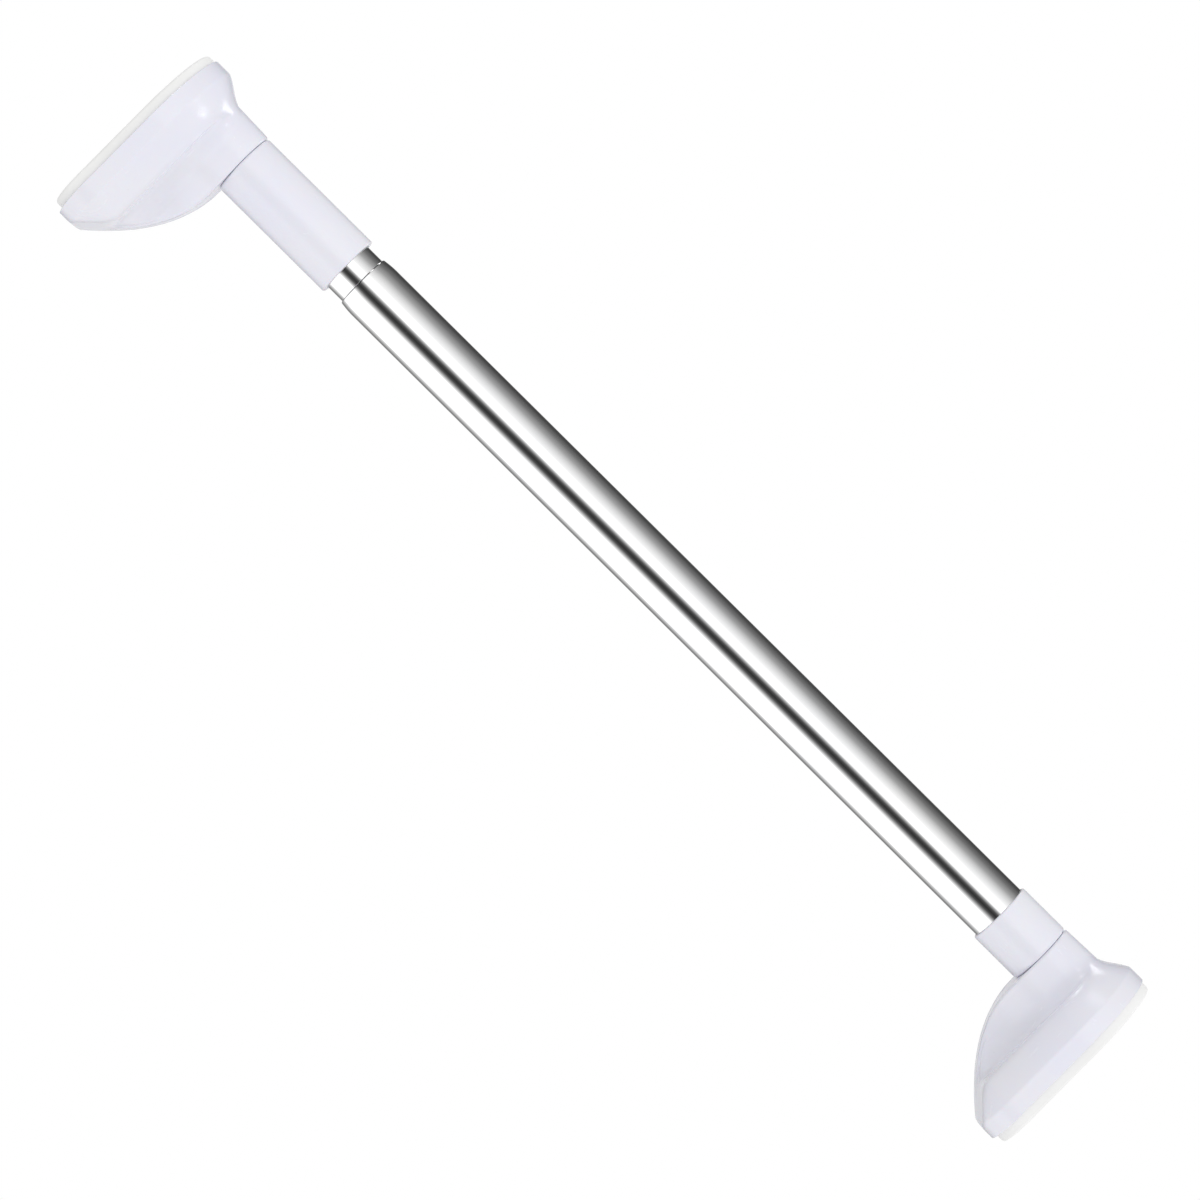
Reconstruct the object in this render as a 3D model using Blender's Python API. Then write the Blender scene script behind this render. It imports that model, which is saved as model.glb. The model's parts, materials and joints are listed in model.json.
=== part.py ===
"""Telescoping window security bar with a twist lock, a screw jack and two shoe-shaped end feet.

The bar runs along +X. The pad face of the fixed foot is the plane X = 0, the tube axis is
Y = Z = 0, and the long lobe of each foot hangs towards -Z. Metres throughout.
"""
import math

import bmesh
import bpy
from mathutils import Matrix, Vector

MM = 0.001
FIT_GAP = 0.3 * MM

# Overall layout along the bar
FOOT_DEPTH = 40.0 * MM
SEAM_GAP = 0.4 * MM
COLLAR_LENGTH = 22.9 * MM
OUTER_TUBE_SHOWN = 354.5 * MM
INNER_TUBE_SHOWN = 8.1 * MM
SLEEVE_LENGTH = 57.7 * MM
COLLAR_START = FOOT_DEPTH + SEAM_GAP
TUBE_MOUTH = COLLAR_START + COLLAR_LENGTH + OUTER_TUBE_SHOWN
SLEEVE_START = TUBE_MOUTH + INNER_TUBE_SHOWN
SLEEVE_END = SLEEVE_START + SLEEVE_LENGTH
BAR_LENGTH = SLEEVE_END + SEAM_GAP + FOOT_DEPTH

# Tubes
OUTER_RADIUS = 12.5 * MM
INNER_RADIUS = 11.2 * MM
TUBE_WALL = 0.7 * MM
OUTER_BORE = OUTER_RADIUS - TUBE_WALL
INNER_BORE = INNER_RADIUS - TUBE_WALL
LIP_BORE = INNER_RADIUS + FIT_GAP
LIP_LENGTH = 1.2 * MM
LIP_LEAD = 0.14 * MM
SWAGE_LENGTH = 7.0 * MM
SWAGE_DROP = 0.45 * MM
LIP_BEND = 0.45 * MM
INNER_TUBE_START = 100.0 * MM
INNER_TUBE_LENGTH = 366.0 * MM
INNER_TUBE_END = INNER_TUBE_START + INNER_TUBE_LENGTH

# Collar, sleeve and the swivel spigots that turn in the feet
COLLAR_RADIUS = 13.75 * MM
SLEEVE_RADIUS = 13.7 * MM
EDGE_ROUND = 0.6 * MM
SPIGOT_RADIUS = 8.2 * MM
SPIGOT_GROOVE_RADIUS = 7.2 * MM
SPIGOT_TIP = 32.4 * MM
SPIGOT_BORE = 5.6 * MM
SPIGOT_CHAMFER = 0.5 * MM
CLIP_START = 34.3 * MM
CLIP_END = 35.3 * MM
CLIP_INNER = 7.5 * MM
CLIP_OUTER = 10.2 * MM
CLIP_OPENING = math.radians(70.0)
WEB_INSIDE = CLIP_END + FIT_GAP
COUNTERBORE_FLOOR = 38.6 * MM
COUNTERBORE_RADIUS = 12.1 * MM
WASHER_START = COUNTERBORE_FLOOR + FIT_GAP
WASHER_END = COLLAR_START - FIT_GAP
WASHER_RADIUS = 11.8 * MM
NECK_BORE = SPIGOT_RADIUS + FIT_GAP

# Foot plan, seen along the bar: an arch with a round top and a flat bottom
PLAN_RADIUS = 34.0 * MM
PLAN_TOP = 21.3 * MM
PLAN_BOTTOM = -64.8 * MM
PLAN_CENTRE = PLAN_TOP - PLAN_RADIUS
PLAN_CORNER = 15.0 * MM
SHELL_WALL = 2.4 * MM

# Foot relief: a round neck that runs down the lobe as a tapering keel, and a sloping flange
RIM_BASE = 4.3 * MM
NECK_ROOT_RADIUS = 14.5 * MM
WALL_DRAFT = 0.5 * MM
TIP_DRAFT = 1.0 * MM
KEEL_WAIST = -10.0 * MM
KEEL_TAPER = 15.0 * MM
KEEL_END = -52.0 * MM
KEEL_END_HALF_WIDTH = 6.5 * MM
KEEL_NOSE = 8.0 * MM
SPINE_START = -17.0 * MM
SPINE_DROP = 28.5 * MM
SPINE_EDGE = 1.2 * MM
SPINE_FADE_LOW = 20.0 * MM
SPINE_FADE_SPAN = 9.0 * MM
FLANGE_FLOOR = 22.6 * MM
FLANGE_RIM = 12.0 * MM
FLANGE_RUN = 11.0 * MM
FLANGE_POWER = 1.8
VALLEY_RADIUS = 9.0 * MM
VALLEY_SHARE = 0.5
BLEND = 1.5 * MM
RIM_EDGE_INSET = 0.35 * MM
CROWN_ROUND = 6.0 * MM
CROWN_SLOPE = 0.10
FACE_SHARES = (0.0, 0.25, 0.5, 0.75, 1.0)
WALL_SHARES = (0.35, 0.7, 1.0)
FLANK_SHARES = (0.01, 0.03, 0.07, 0.14, 0.23, 0.35, 0.5, 0.62, 0.73, 0.83, 0.92, 1.0)

# Inside of the foot
CAVITY_WALL = 2.9 * MM
CAVITY_ROOF = 2.6 * MM
CAVITY_SHIFT = 2.0 * MM
CAVITY_TIP_INSET = 1.0 * MM
CAVITY_LOW = 8.7 * MM
CAVITY_FLANK_SHARES = (1.0, 0.75, 0.5, 0.3, 0.17, 0.08, 0.03)
CAVITY_ROOF_SHARES = (0.66, 0.33, 0.0)
PLATE_INSET = SHELL_WALL + FIT_GAP
PLATE_BASE = 4.3 * MM
PLATE_TOP = 6.8 * MM
PLATE_RIB_HEIGHT = 1.4 * MM
PLATE_RIB_WIDTH = 0.8 * MM
PAD_INSET = 1.5 * MM
PAD_BACK = 4.0 * MM
PAD_CORNER = 1.0 * MM
PAD_CHANNELS = (7.0 * MM, 12.5 * MM)
PAD_CHANNEL_WIDTH = 2.2 * MM
PAD_CHANNEL_DEPTH = 0.9 * MM
SCREW_SPREAD = 19.5 * MM
SCREW_HIGH = 2.0 * MM
SCREW_LOW = -48.0 * MM
SCREW_SPOTS = (
    (SCREW_SPREAD, SCREW_HIGH),
    (-SCREW_SPREAD, SCREW_HIGH),
    (SCREW_SPREAD, SCREW_LOW),
    (-SCREW_SPREAD, SCREW_LOW),
)
BOSS_RADIUS = 3.4 * MM
BOSS_START = PLATE_TOP + FIT_GAP
BOSS_SHOULDER = 19.5 * MM
BOSS_END = 21.1 * MM
BOSS_END_RADIUS = 1.6 * MM
BOSS_BORE = 1.75 * MM
BOSS_BORE_END = 15.0 * MM
SCREW_SHANK = 1.45 * MM
SCREW_HEAD = 2.9 * MM
SCREW_FACE = 4.5 * MM
SCREW_HEAD_DEPTH = 1.7 * MM
SCREW_HEAD_RIM = 0.25 * MM
SCREW_POINT_LENGTH = 1.6 * MM
SCREW_POINT_RADIUS = 0.4 * MM
SINK_EASE = 0.2 * MM
CUT_OVERRUN = 1.0 * MM
SCREW_TIP = 14.0 * MM
SCREW_SLOT_DEPTH = 0.7 * MM
SCREW_SLOT_WIDTH = 0.7 * MM

# End plug that joins the outer tube to the fixed foot
PLUG_FLANGE_START = 42.9 * MM
PLUG_FLANGE_END = 45.3 * MM
PLUG_FLANGE_RADIUS = 12.4 * MM
PLUG_BARREL = OUTER_BORE - FIT_GAP
PLUG_END = 62.0 * MM
PLUG_CORE = 9.0 * MM
PLUG_CORE_FLOOR = 47.5 * MM
PLUG_BLIND = 4.5 * MM
PLUG_BLIND_FLOOR = 44.0 * MM
OUTER_TUBE_START = PLUG_FLANGE_END + FIT_GAP
PIN_RADIUS = 1.5 * MM
PIN_HOLE = PIN_RADIUS + FIT_GAP
PLUG_PIN_X = 54.0 * MM
PIN_CHAMFER = 0.3 * MM
PIN_SET_BACK = 0.1 * MM

# Twist lock at the inner end of the inner tube
ECCENTRICITY = 0.45 * MM
LOCK_BARREL = INNER_BORE - FIT_GAP
LOCK_BARREL_END = 122.0 * MM
LOCK_CORE = 7.5 * MM
LOCK_CORE_FLOOR = 103.0 * MM
LOCK_PIN_X = 112.0 * MM
LOCK_FLANGE_START = 97.7 * MM
GROOVE_START = 90.7 * MM
GROOVE_RADIUS = 9.2 * MM
LOCK_SHOULDER_START = 88.7 * MM
LOCK_SHOULDER_RADIUS = 11.0 * MM
ECCENTRIC_RADIUS = 6.0 * MM
ECCENTRIC_START = 78.7 * MM
GLIDE_INNER = GROOVE_RADIUS + FIT_GAP
GLIDE_OUTER = OUTER_BORE - FIT_GAP
CAM_OUTER = 11.2 * MM
CAM_RIDGE = 0.25 * MM
CAM_RIDGES = 15
CAM_SPLIT = math.radians(18.0)
LOCK_WASHER_START = 77.4 * MM
LOCK_WASHER_END = 78.4 * MM
LOCK_WASHER_RADIUS = 8.8 * MM
LOCK_SCREW_SHANK = 1.9 * MM
LOCK_SCREW_HOLE = LOCK_SCREW_SHANK + FIT_GAP
LOCK_SCREW_HEAD = 3.8 * MM
LOCK_SCREW_CROWN = 0.6 * MM
LOCK_SCREW_SOCKET = 1.3 * MM
LOCK_SCREW_SOCKET_DEPTH = 1.2 * MM
LOCK_SCREW_POINT = 1.0 * MM
LOCK_SCREW_FACE = 74.9 * MM
LOCK_SCREW_HEAD_END = LOCK_WASHER_START - FIT_GAP
LOCK_SCREW_TIP = 92.0 * MM
LOCK_SCREW_HOLE_END = 93.5 * MM

# Screw jack at the outer end of the inner tube
END_PLUG_START = 446.0 * MM
END_PLUG_FLANGE = INNER_TUBE_END + FIT_GAP
END_PLUG_FACE = 468.3 * MM
JACK_SHANK = 4.0 * MM
JACK_SHANK_HOLE = JACK_SHANK + FIT_GAP
JACK_SHANK_START = 449.0 * MM
JACK_HOLE_START = 447.8 * MM
END_PIN_X = 457.0 * MM
THREAD_START = 469.0 * MM
THREAD_END = 503.0 * MM
THREAD_TIP = 504.5 * MM
THREAD_PITCH = 3.0 * MM
THREAD_MAJOR = 5.0 * MM
THREAD_MINOR = 3.25 * MM
THREAD_FLANK = 0.23
THREAD_CREST = 0.14
THREAD_RELIEF = 0.3 * MM
THREAD_CHAMFER = 0.9 * MM
TAP_TURNS = 8
TAP_LEAD = 2.0
TAP_CAP = 0.5
NUT_START = 470.0 * MM
NUT_END = 480.2 * MM
NUT_HALF_FLATS = 9.5 * MM
POCKET_HALF_FLATS = NUT_HALF_FLATS + FIT_GAP
POCKET_START = 469.6 * MM
POCKET_FLOOR = NUT_END + FIT_GAP
POCKET_LEAD = 0.4 * MM
SLEEVE_BORE = INNER_RADIUS + FIT_GAP

# Facets
ROUND = 36
HIDDEN_ROUND = 24
SMALL_ROUND = 12
EDGE_STEPS = 2
THREAD_SEGMENTS = 12
ARCH_STEPS = 16
SIDE_STEPS = 9
CORNER_STEPS = 3
BOTTOM_STEPS = 4
SHARP_ANGLE = math.radians(34.0)


def clear_scene():
    """Remove every object, mesh and material left in the file."""
    for item in list(bpy.data.objects):
        bpy.data.objects.remove(item, do_unlink=True)
    for mesh in list(bpy.data.meshes):
        bpy.data.meshes.remove(mesh)
    for material in list(bpy.data.materials):
        bpy.data.materials.remove(material)


def make_material(name, colour, roughness, metallic):
    """Plain Principled material."""
    material = bpy.data.materials.new(name)
    material.use_nodes = True
    shader = material.node_tree.nodes["Principled BSDF"]
    shader.inputs["Base Color"].default_value = (*colour, 1.0)
    shader.inputs["Roughness"].default_value = roughness
    shader.inputs["Metallic"].default_value = metallic
    material.diffuse_color = (*colour, 1.0)
    return material


MATERIALS = {
    "white_abs": ((0.80, 0.80, 0.88), 0.30, 0.0),
    "grip_rubber": ((0.80, 0.80, 0.77), 0.75, 0.0),
    "chrome_tube": ((0.88, 0.88, 0.89), 0.06, 1.0),
    "black_nylon": ((0.035, 0.035, 0.04), 0.45, 0.0),
    "natural_acetal": ((0.82, 0.81, 0.76), 0.35, 0.0),
    "spring_steel": ((0.45, 0.45, 0.47), 0.35, 1.0),
    "zinc_steel": ((0.70, 0.70, 0.72), 0.30, 1.0),
    "brass": ((0.80, 0.62, 0.30), 0.28, 1.0),
}


def mesh_from(name, vertices, faces):
    """Mesh with outward normals."""
    mesh = bpy.data.meshes.new(name)
    mesh.from_pydata([tuple(v) for v in vertices], [], faces)
    work = bmesh.new()
    work.from_mesh(mesh)
    bmesh.ops.recalc_face_normals(work, faces=work.faces)
    if work.calc_volume(signed=True) < 0:
        bmesh.ops.reverse_faces(work, faces=work.faces)
    work.to_mesh(mesh)
    work.free()
    return mesh


def add_object(name, mesh, material, origin=(0.0, 0.0, 0.0)):
    """Object whose mesh, given in world metres, is re-based on its own origin."""
    mesh.transform(Matrix.Translation(-Vector(origin)))
    node = bpy.data.objects.new(name, mesh)
    node.location = origin
    bpy.context.scene.collection.objects.link(node)
    if material not in bpy.data.materials:
        make_material(material, *MATERIALS[material])
    mesh.materials.append(bpy.data.materials[material])
    smooth(mesh)
    return node


def smooth(mesh):
    """Smooth shading with crisp corners."""
    mesh.polygons.foreach_set("use_smooth", [True] * len(mesh.polygons))
    mesh.set_sharp_from_angle(angle=SHARP_ANGLE)


def loft(rings, closed=False):
    """Skin over rings of equal length; open ends get a flat cap."""
    count = len(rings[0])
    vertices = [point for ring in rings for point in ring]
    faces = []
    pairs = len(rings) if closed else len(rings) - 1
    for index in range(pairs):
        low = index * count
        high = (index + 1) % len(rings) * count
        for step in range(count):
            after = (step + 1) % count
            faces.append((low + step, low + after, high + after, high + step))
    if not closed:
        faces.append(tuple(range(count)))
        faces.append(tuple(range((len(rings) - 1) * count, len(rings) * count)))
    return vertices, faces


def circle(x, radius, segments=ROUND, centre=(0.0, 0.0)):
    """Ring of points about an axis parallel to X."""
    ring = []
    for step in range(segments):
        angle = 2.0 * math.pi * step / segments
        ring.append(Vector((x, centre[0] + radius * math.cos(angle), centre[1] + radius * math.sin(angle))))
    return ring


def hexagon(x, half_flats, segments=ROUND):
    """Ring of points on a hexagonal outline with its corners on the ring's own steps."""
    ring = []
    for step in range(segments):
        angle = 2.0 * math.pi * step / segments
        fold = math.fmod(angle, math.pi / 3.0) - math.pi / 6.0
        radius = half_flats / math.cos(fold)
        ring.append(Vector((x, radius * math.cos(angle), radius * math.sin(angle))))
    return ring


def turned(name, profile, material, closed=True, segments=ROUND, centre=(0.0, 0.0), origin_x=None):
    """Round piece from (x, radius) points. An open profile is solid and is capped at both ends."""
    rings = [circle(x, radius, segments, centre) for x, radius in profile]
    vertices, faces = loft(rings, closed)
    base = profile[0][0] if origin_x is None else origin_x
    return add_object(name, mesh_from(name, vertices, faces), material, (base, centre[0], centre[1]))


def bake_boolean(node, cutters, operation):
    """Apply an exact Boolean with each cutter and drop the cutters."""
    for cutter in cutters:
        modifier = node.modifiers.new("cut", "BOOLEAN")
        modifier.operation = operation
        modifier.solver = "EXACT"
        modifier.object = cutter
    graph = bpy.context.evaluated_depsgraph_get()
    graph.update()
    baked = bpy.data.meshes.new_from_object(node.evaluated_get(graph))
    node.modifiers.clear()
    old = node.data
    node.data = baked
    bpy.data.meshes.remove(old)
    for cutter in cutters:
        bpy.data.objects.remove(cutter, do_unlink=True)
    smooth(baked)


def rod(name, start, end, radius, segments=SMALL_ROUND):
    """Plain cylinder between two points, for pins and cutters."""
    start = Vector(start)
    end = Vector(end)
    axis = (end - start).normalized()
    side = axis.orthogonal().normalized()
    other = axis.cross(side)
    rings = []
    for centre in (start, end):
        ring = []
        for step in range(segments):
            angle = 2.0 * math.pi * step / segments
            ring.append(centre + radius * (math.cos(angle) * side + math.sin(angle) * other))
        rings.append(ring)
    vertices, faces = loft(rings)
    return add_object(name, mesh_from(name, vertices, faces), "zinc_steel")


def cross_pin(name, x, half_length):
    """Chamfered pin lying along Z through the bar."""
    rings = []
    stations = (
        (-half_length, PIN_RADIUS - PIN_CHAMFER),
        (-half_length + PIN_CHAMFER, PIN_RADIUS),
        (half_length - PIN_CHAMFER, PIN_RADIUS),
        (half_length, PIN_RADIUS - PIN_CHAMFER),
    )
    for z, radius in stations:
        ring = []
        for step in range(SMALL_ROUND):
            angle = 2.0 * math.pi * step / SMALL_ROUND
            ring.append(Vector((x + radius * math.cos(angle), radius * math.sin(angle), z)))
        rings.append(ring)
    vertices, faces = loft(rings)
    return add_object(name, mesh_from(name, vertices, faces), "spring_steel", (x, 0.0, 0.0))


def drill_across(node, x, reach):
    """Cut a pin hole along Z through a piece."""
    cutter = rod("drill", (x, 0.0, -reach), (x, 0.0, reach), PIN_HOLE)
    bake_boolean(node, [cutter], "DIFFERENCE")


# ---------------------------------------------------------------- foot surfaces

def soft_min(first, second):
    """Smaller of two heights with a rounded meeting."""
    share = max(BLEND - abs(first - second), 0.0) / BLEND
    return min(first, second) - share * share * BLEND / 4.0


def spine_height(z):
    """Height of the keel's spine above the wall: level under the neck, then a falling parabola."""
    if z >= SPINE_START:
        return FOOT_DEPTH
    run = (SPINE_START - z) / (SPINE_START - PLAN_BOTTOM)
    return FOOT_DEPTH - SPINE_DROP * run * run


def spine_edge_drop(z):
    """Rounding of the spine's edges, which fades out at the tip of the lobe."""
    share = (spine_height(z) - SPINE_FADE_LOW) / SPINE_FADE_SPAN
    share = min(max(share, 0.0), 1.0)
    return SPINE_EDGE * share * share * (3.0 - 2.0 * share)


def keel_half_width(z):
    """Half-width of the keel: the neck's own width, waisting quickly down the lobe."""
    run = max(KEEL_WAIST - z, 0.0) / KEEL_TAPER
    return KEEL_END_HALF_WIDTH + (NECK_ROOT_RADIUS - KEEL_END_HALF_WIDTH) * math.exp(-run * run)


def tip_count():
    """Points between the last left side point and the first right side point."""
    return 2 * CORNER_STEPS + BOTTOM_STEPS - 1


def plan_outline(inset):
    """Foot outline as (y, z), counter-clockwise from the right end of the arch."""
    radius = PLAN_RADIUS - inset
    corner = max(PLAN_CORNER - inset, 1.0 * MM)
    bottom = PLAN_BOTTOM + inset
    side_end = bottom + corner
    points = []
    for step in range(ARCH_STEPS + 1):
        angle = math.pi * step / ARCH_STEPS
        points.append((radius * math.cos(angle), PLAN_CENTRE + radius * math.sin(angle)))
    left = []
    for step in range(1, SIDE_STEPS + 1):
        left.append((-radius, PLAN_CENTRE + (side_end - PLAN_CENTRE) * step / SIDE_STEPS))
    points += left
    corner_points = []
    for step in range(1, CORNER_STEPS + 1):
        angle = math.pi + 0.5 * math.pi * step / CORNER_STEPS
        y = corner - radius + corner * math.cos(angle)
        corner_points.append((y, side_end + corner * math.sin(angle)))
    points += corner_points
    half_flat = radius - corner
    for step in range(1, BOTTOM_STEPS):
        points.append((-half_flat + 2.0 * half_flat * step / BOTTOM_STEPS, bottom))
    points += [(-y, z) for y, z in reversed(corner_points)]
    points += [(-y, z) for y, z in reversed(left)]
    return points


def keel_outline(inset, tip_inset=None):
    """Outline of the neck and keel, with its points paired to those of plan_outline."""
    tip_inset = inset if tip_inset is None else tip_inset
    points = []
    for step in range(ARCH_STEPS + 1):
        angle = math.pi * step / ARCH_STEPS
        radius = NECK_ROOT_RADIUS - inset
        points.append((radius * math.cos(angle), radius * math.sin(angle)))
    left = []
    for step in range(1, SIDE_STEPS + 1):
        share = step / SIDE_STEPS
        z = KEEL_END * share
        trim = inset + (tip_inset - inset) * share
        left.append((-(keel_half_width(z) - trim), z))
    points += left
    count = tip_count()
    for step in range(1, count + 1):
        angle = math.pi + math.pi * step / (count + 1)
        across = KEEL_END_HALF_WIDTH - tip_inset
        along = KEEL_NOSE - tip_inset
        points.append((across * math.cos(angle), KEEL_END + along * math.sin(angle)))
    points += [(-y, z) for y, z in reversed(left)]
    return points


def hub_outline(radius):
    """Circle about the bar's axis with points paired to those of keel_outline."""
    points = []
    total = len(plan_outline(0.0))
    lower = total - ARCH_STEPS
    for step in range(ARCH_STEPS):
        angle = math.pi * step / ARCH_STEPS
        points.append((radius * math.cos(angle), radius * math.sin(angle)))
    for step in range(lower):
        angle = math.pi + math.pi * step / lower
        points.append((radius * math.cos(angle), radius * math.sin(angle)))
    return points


def between(first, second, share):
    """Points part way between two outlines."""
    mixed = []
    for (y0, z0), (y1, z1) in zip(first, second):
        mixed.append((y0 + (y1 - y0) * share, z0 + (z1 - z0) * share))
    return mixed


def lifted(outline, height):
    """Ring of 3D points over an outline; height is a number or a function of z."""
    ring = []
    for y, z in outline:
        x = height(z) if callable(height) else height
        ring.append(Vector((x, y, z)))
    return ring


def flank_height(run, gap):
    """Height of the flank a run away from the keel, where the rim is a gap away from it."""
    fall = max(1.0 - (gap - run) / FLANGE_RUN, 0.0) ** FLANGE_POWER
    radius = min(VALLEY_RADIUS, VALLEY_SHARE * gap)
    inside = max(radius - run, 0.0)
    fillet = radius - math.sqrt(radius * radius - inside * inside)
    return FLANGE_FLOOR - (FLANGE_FLOOR - FLANGE_RIM) * fall + fillet


def flank_ring(root, rim, share, drop, ceiling):
    """Ring across the flank, from the keel's foot (0) to the rim (1), never above the ceiling."""
    ring = []
    for (y0, z0), (y1, z1) in zip(root, rim):
        gap = math.hypot(y1 - y0, z1 - z0)
        y = y0 + (y1 - y0) * share
        z = z0 + (z1 - z0) * share
        ring.append(Vector((soft_min(flank_height(share * gap, gap) - drop, ceiling(y, z)), y, z)))
    return ring


def wall_ring(top, foot, share, height):
    """Ring down the keel's side wall, from its shoulder (0) to the top of the flank's fillet (1)."""
    ring = []
    for (y0, z0), low in zip(top, foot):
        high = height(z0)
        y = y0 + (low.y - y0) * share
        z = z0 + (low.z - z0) * share
        ring.append(Vector((high + (low.x - high) * share, y, z)))
    return ring


def crown(y):
    """Fall of the lobe's end to both sides of the keel."""
    return CROWN_SLOPE * (math.hypot(y, CROWN_ROUND) - CROWN_ROUND)


def shoulder_height(z):
    """Top of the keel's side wall."""
    return spine_height(z) - spine_edge_drop(z)


def outer_ceiling(y, z):
    """Crowned surface that cuts off the lobe's end."""
    return shoulder_height(z) - crown(y)


def rim_edge_rings(rim):
    """Rounded edge of the rim, from the flange's own slope round to the upright skirt."""
    skirt = plan_outline(0.0)
    slope = math.atan(FLANGE_POWER * (FLANGE_FLOOR - FLANGE_RIM) / FLANGE_RUN)
    radius = RIM_EDGE_INSET / (1.0 - math.sin(slope))
    rings = []
    for step in range(1, EDGE_STEPS + 1):
        angle = slope + (0.5 * math.pi - slope) * step / EDGE_STEPS
        out = (math.sin(angle) - math.sin(slope)) / (1.0 - math.sin(slope))
        down = radius * (math.cos(slope) - math.cos(angle))
        ring = []
        for y, z in between(rim, skirt, out):
            ring.append(Vector((soft_min(FLANGE_RIM, outer_ceiling(y, z)) - down, y, z)))
        rings.append(ring)
    return rings


def outer_rings():
    """Rings of the visible surface, from the counterbore's edge to the bottom of the rim."""
    hub = hub_outline(COUNTERBORE_RADIUS)
    crest = keel_outline(WALL_DRAFT + SPINE_EDGE, TIP_DRAFT + SPINE_EDGE)
    shoulder = keel_outline(WALL_DRAFT, TIP_DRAFT)
    root = keel_outline(0.0)
    rim = plan_outline(RIM_EDGE_INSET)
    rings = []
    for share in FACE_SHARES:
        rings.append(lifted(between(hub, crest, share), spine_height))
    for step in range(1, EDGE_STEPS + 1):
        angle = 0.5 * math.pi * step / EDGE_STEPS
        down = 1.0 - math.cos(angle)
        outline = between(crest, shoulder, math.sin(angle))
        rings.append(lifted(outline, lambda z, d=down: spine_height(z) - d * spine_edge_drop(z)))
    foot_ring = flank_ring(root, rim, 0.0, 0.0, outer_ceiling)
    for share in WALL_SHARES:
        rings.append(wall_ring(shoulder, foot_ring, share, shoulder_height))
    for share in FLANK_SHARES:
        rings.append(flank_ring(root, rim, share, 0.0, outer_ceiling))
    rings += rim_edge_rings(rim)
    rings.append(lifted(plan_outline(0.0), RIM_BASE))
    return rings


def cavity_rings():
    """Rings of the hollow underside, from the rim's inner edge to the web round the neck bore."""
    def roof(z):
        return min(WEB_INSIDE, spine_height(z - CAVITY_SHIFT) - CAVITY_ROOF)

    def crowned_roof(y, z):
        return max(roof(z) - crown(y), CAVITY_LOW)

    inside = plan_outline(SHELL_WALL)
    root = keel_outline(CAVITY_WALL)
    crest = keel_outline(CAVITY_WALL + WALL_DRAFT, CAVITY_WALL + CAVITY_TIP_INSET)
    hub = hub_outline(NECK_BORE)
    rings = [lifted(inside, RIM_BASE)]
    for share in CAVITY_FLANK_SHARES:
        rings.append(flank_ring(root, inside, share, CAVITY_ROOF, crowned_roof))
    foot_ring = flank_ring(root, inside, 0.0, CAVITY_ROOF, crowned_roof)
    for share in (1.0, 0.5, 0.0):
        rings.append(wall_ring(crest, foot_ring, share, roof))
    for share in CAVITY_ROOF_SHARES:
        rings.append(lifted(between(hub, crest, share), roof))
    return rings


def place_foot(points, mirrored):
    """Foot coordinates to world: the jack foot faces the other way."""
    if not mirrored:
        return points
    return [Vector((BAR_LENGTH - point.x, point.y, point.z)) for point in points]


def foot_x(x, mirrored):
    """Distance from the pad face to world X."""
    return BAR_LENGTH - x if mirrored else x


def foot_piece(name, rings, closed, material, mirrored, origin):
    """Lofted foot piece in world place."""
    vertices, faces = loft(rings, closed)
    mesh = mesh_from(name, place_foot(vertices, mirrored), faces)
    return add_object(name, mesh, material, (foot_x(origin, mirrored), 0.0, 0.0))


def shell(name, mirrored):
    """Hollow moulded shoe with four screw posts inside."""
    rings = outer_rings() + cavity_rings()
    rings.append(lifted(hub_outline(NECK_BORE), COUNTERBORE_FLOOR))
    rings.append(lifted(hub_outline(COUNTERBORE_RADIUS), COUNTERBORE_FLOOR))
    node = foot_piece(name, rings, True, "white_abs", mirrored, FOOT_DEPTH)
    posts = []
    for index, spot in enumerate(SCREW_SPOTS):
        profile = (
            (BOSS_BORE_END, BOSS_BORE),
            (BOSS_START, BOSS_BORE),
            (BOSS_START, BOSS_RADIUS),
            (BOSS_SHOULDER, BOSS_RADIUS),
            (BOSS_END, BOSS_END_RADIUS),
        )
        placed = [(foot_x(x, mirrored), radius) for x, radius in profile]
        posts.append(turned(f"post_{index}", placed, "white_abs", False, SMALL_ROUND, spot))
    bake_boolean(node, posts, "UNION")
    return node


def base_plate(name, mirrored):
    """Stiffener that closes the shell, with a rib round its edge and four countersunk holes."""
    rib_in = PLATE_INSET + PLATE_RIB_WIDTH
    rib_top = PLATE_TOP + PLATE_RIB_HEIGHT
    rings = [
        lifted(plan_outline(PLATE_INSET), PLATE_BASE),
        lifted(plan_outline(PLATE_INSET), rib_top),
        lifted(plan_outline(rib_in), rib_top),
        lifted(plan_outline(rib_in), PLATE_TOP),
    ]
    node = foot_piece(name, rings, False, "black_nylon", mirrored, PLATE_BASE)
    cutters = []
    for index, spot in enumerate(SCREW_SPOTS):
        mouth = SCREW_HEAD + FIT_GAP + SINK_EASE
        profile = (
            (PLATE_BASE - CUT_OVERRUN, mouth),
            (SCREW_FACE, mouth),
            (SCREW_FACE + SCREW_HEAD_DEPTH, SCREW_SHANK + FIT_GAP),
            (PLATE_TOP + CUT_OVERRUN, SCREW_SHANK + FIT_GAP),
        )
        placed = [(foot_x(x, mirrored), radius) for x, radius in profile]
        cutters.append(turned(f"sink_{index}", placed, "zinc_steel", False, SMALL_ROUND, spot))
    bake_boolean(node, cutters, "DIFFERENCE")
    return node


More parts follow.
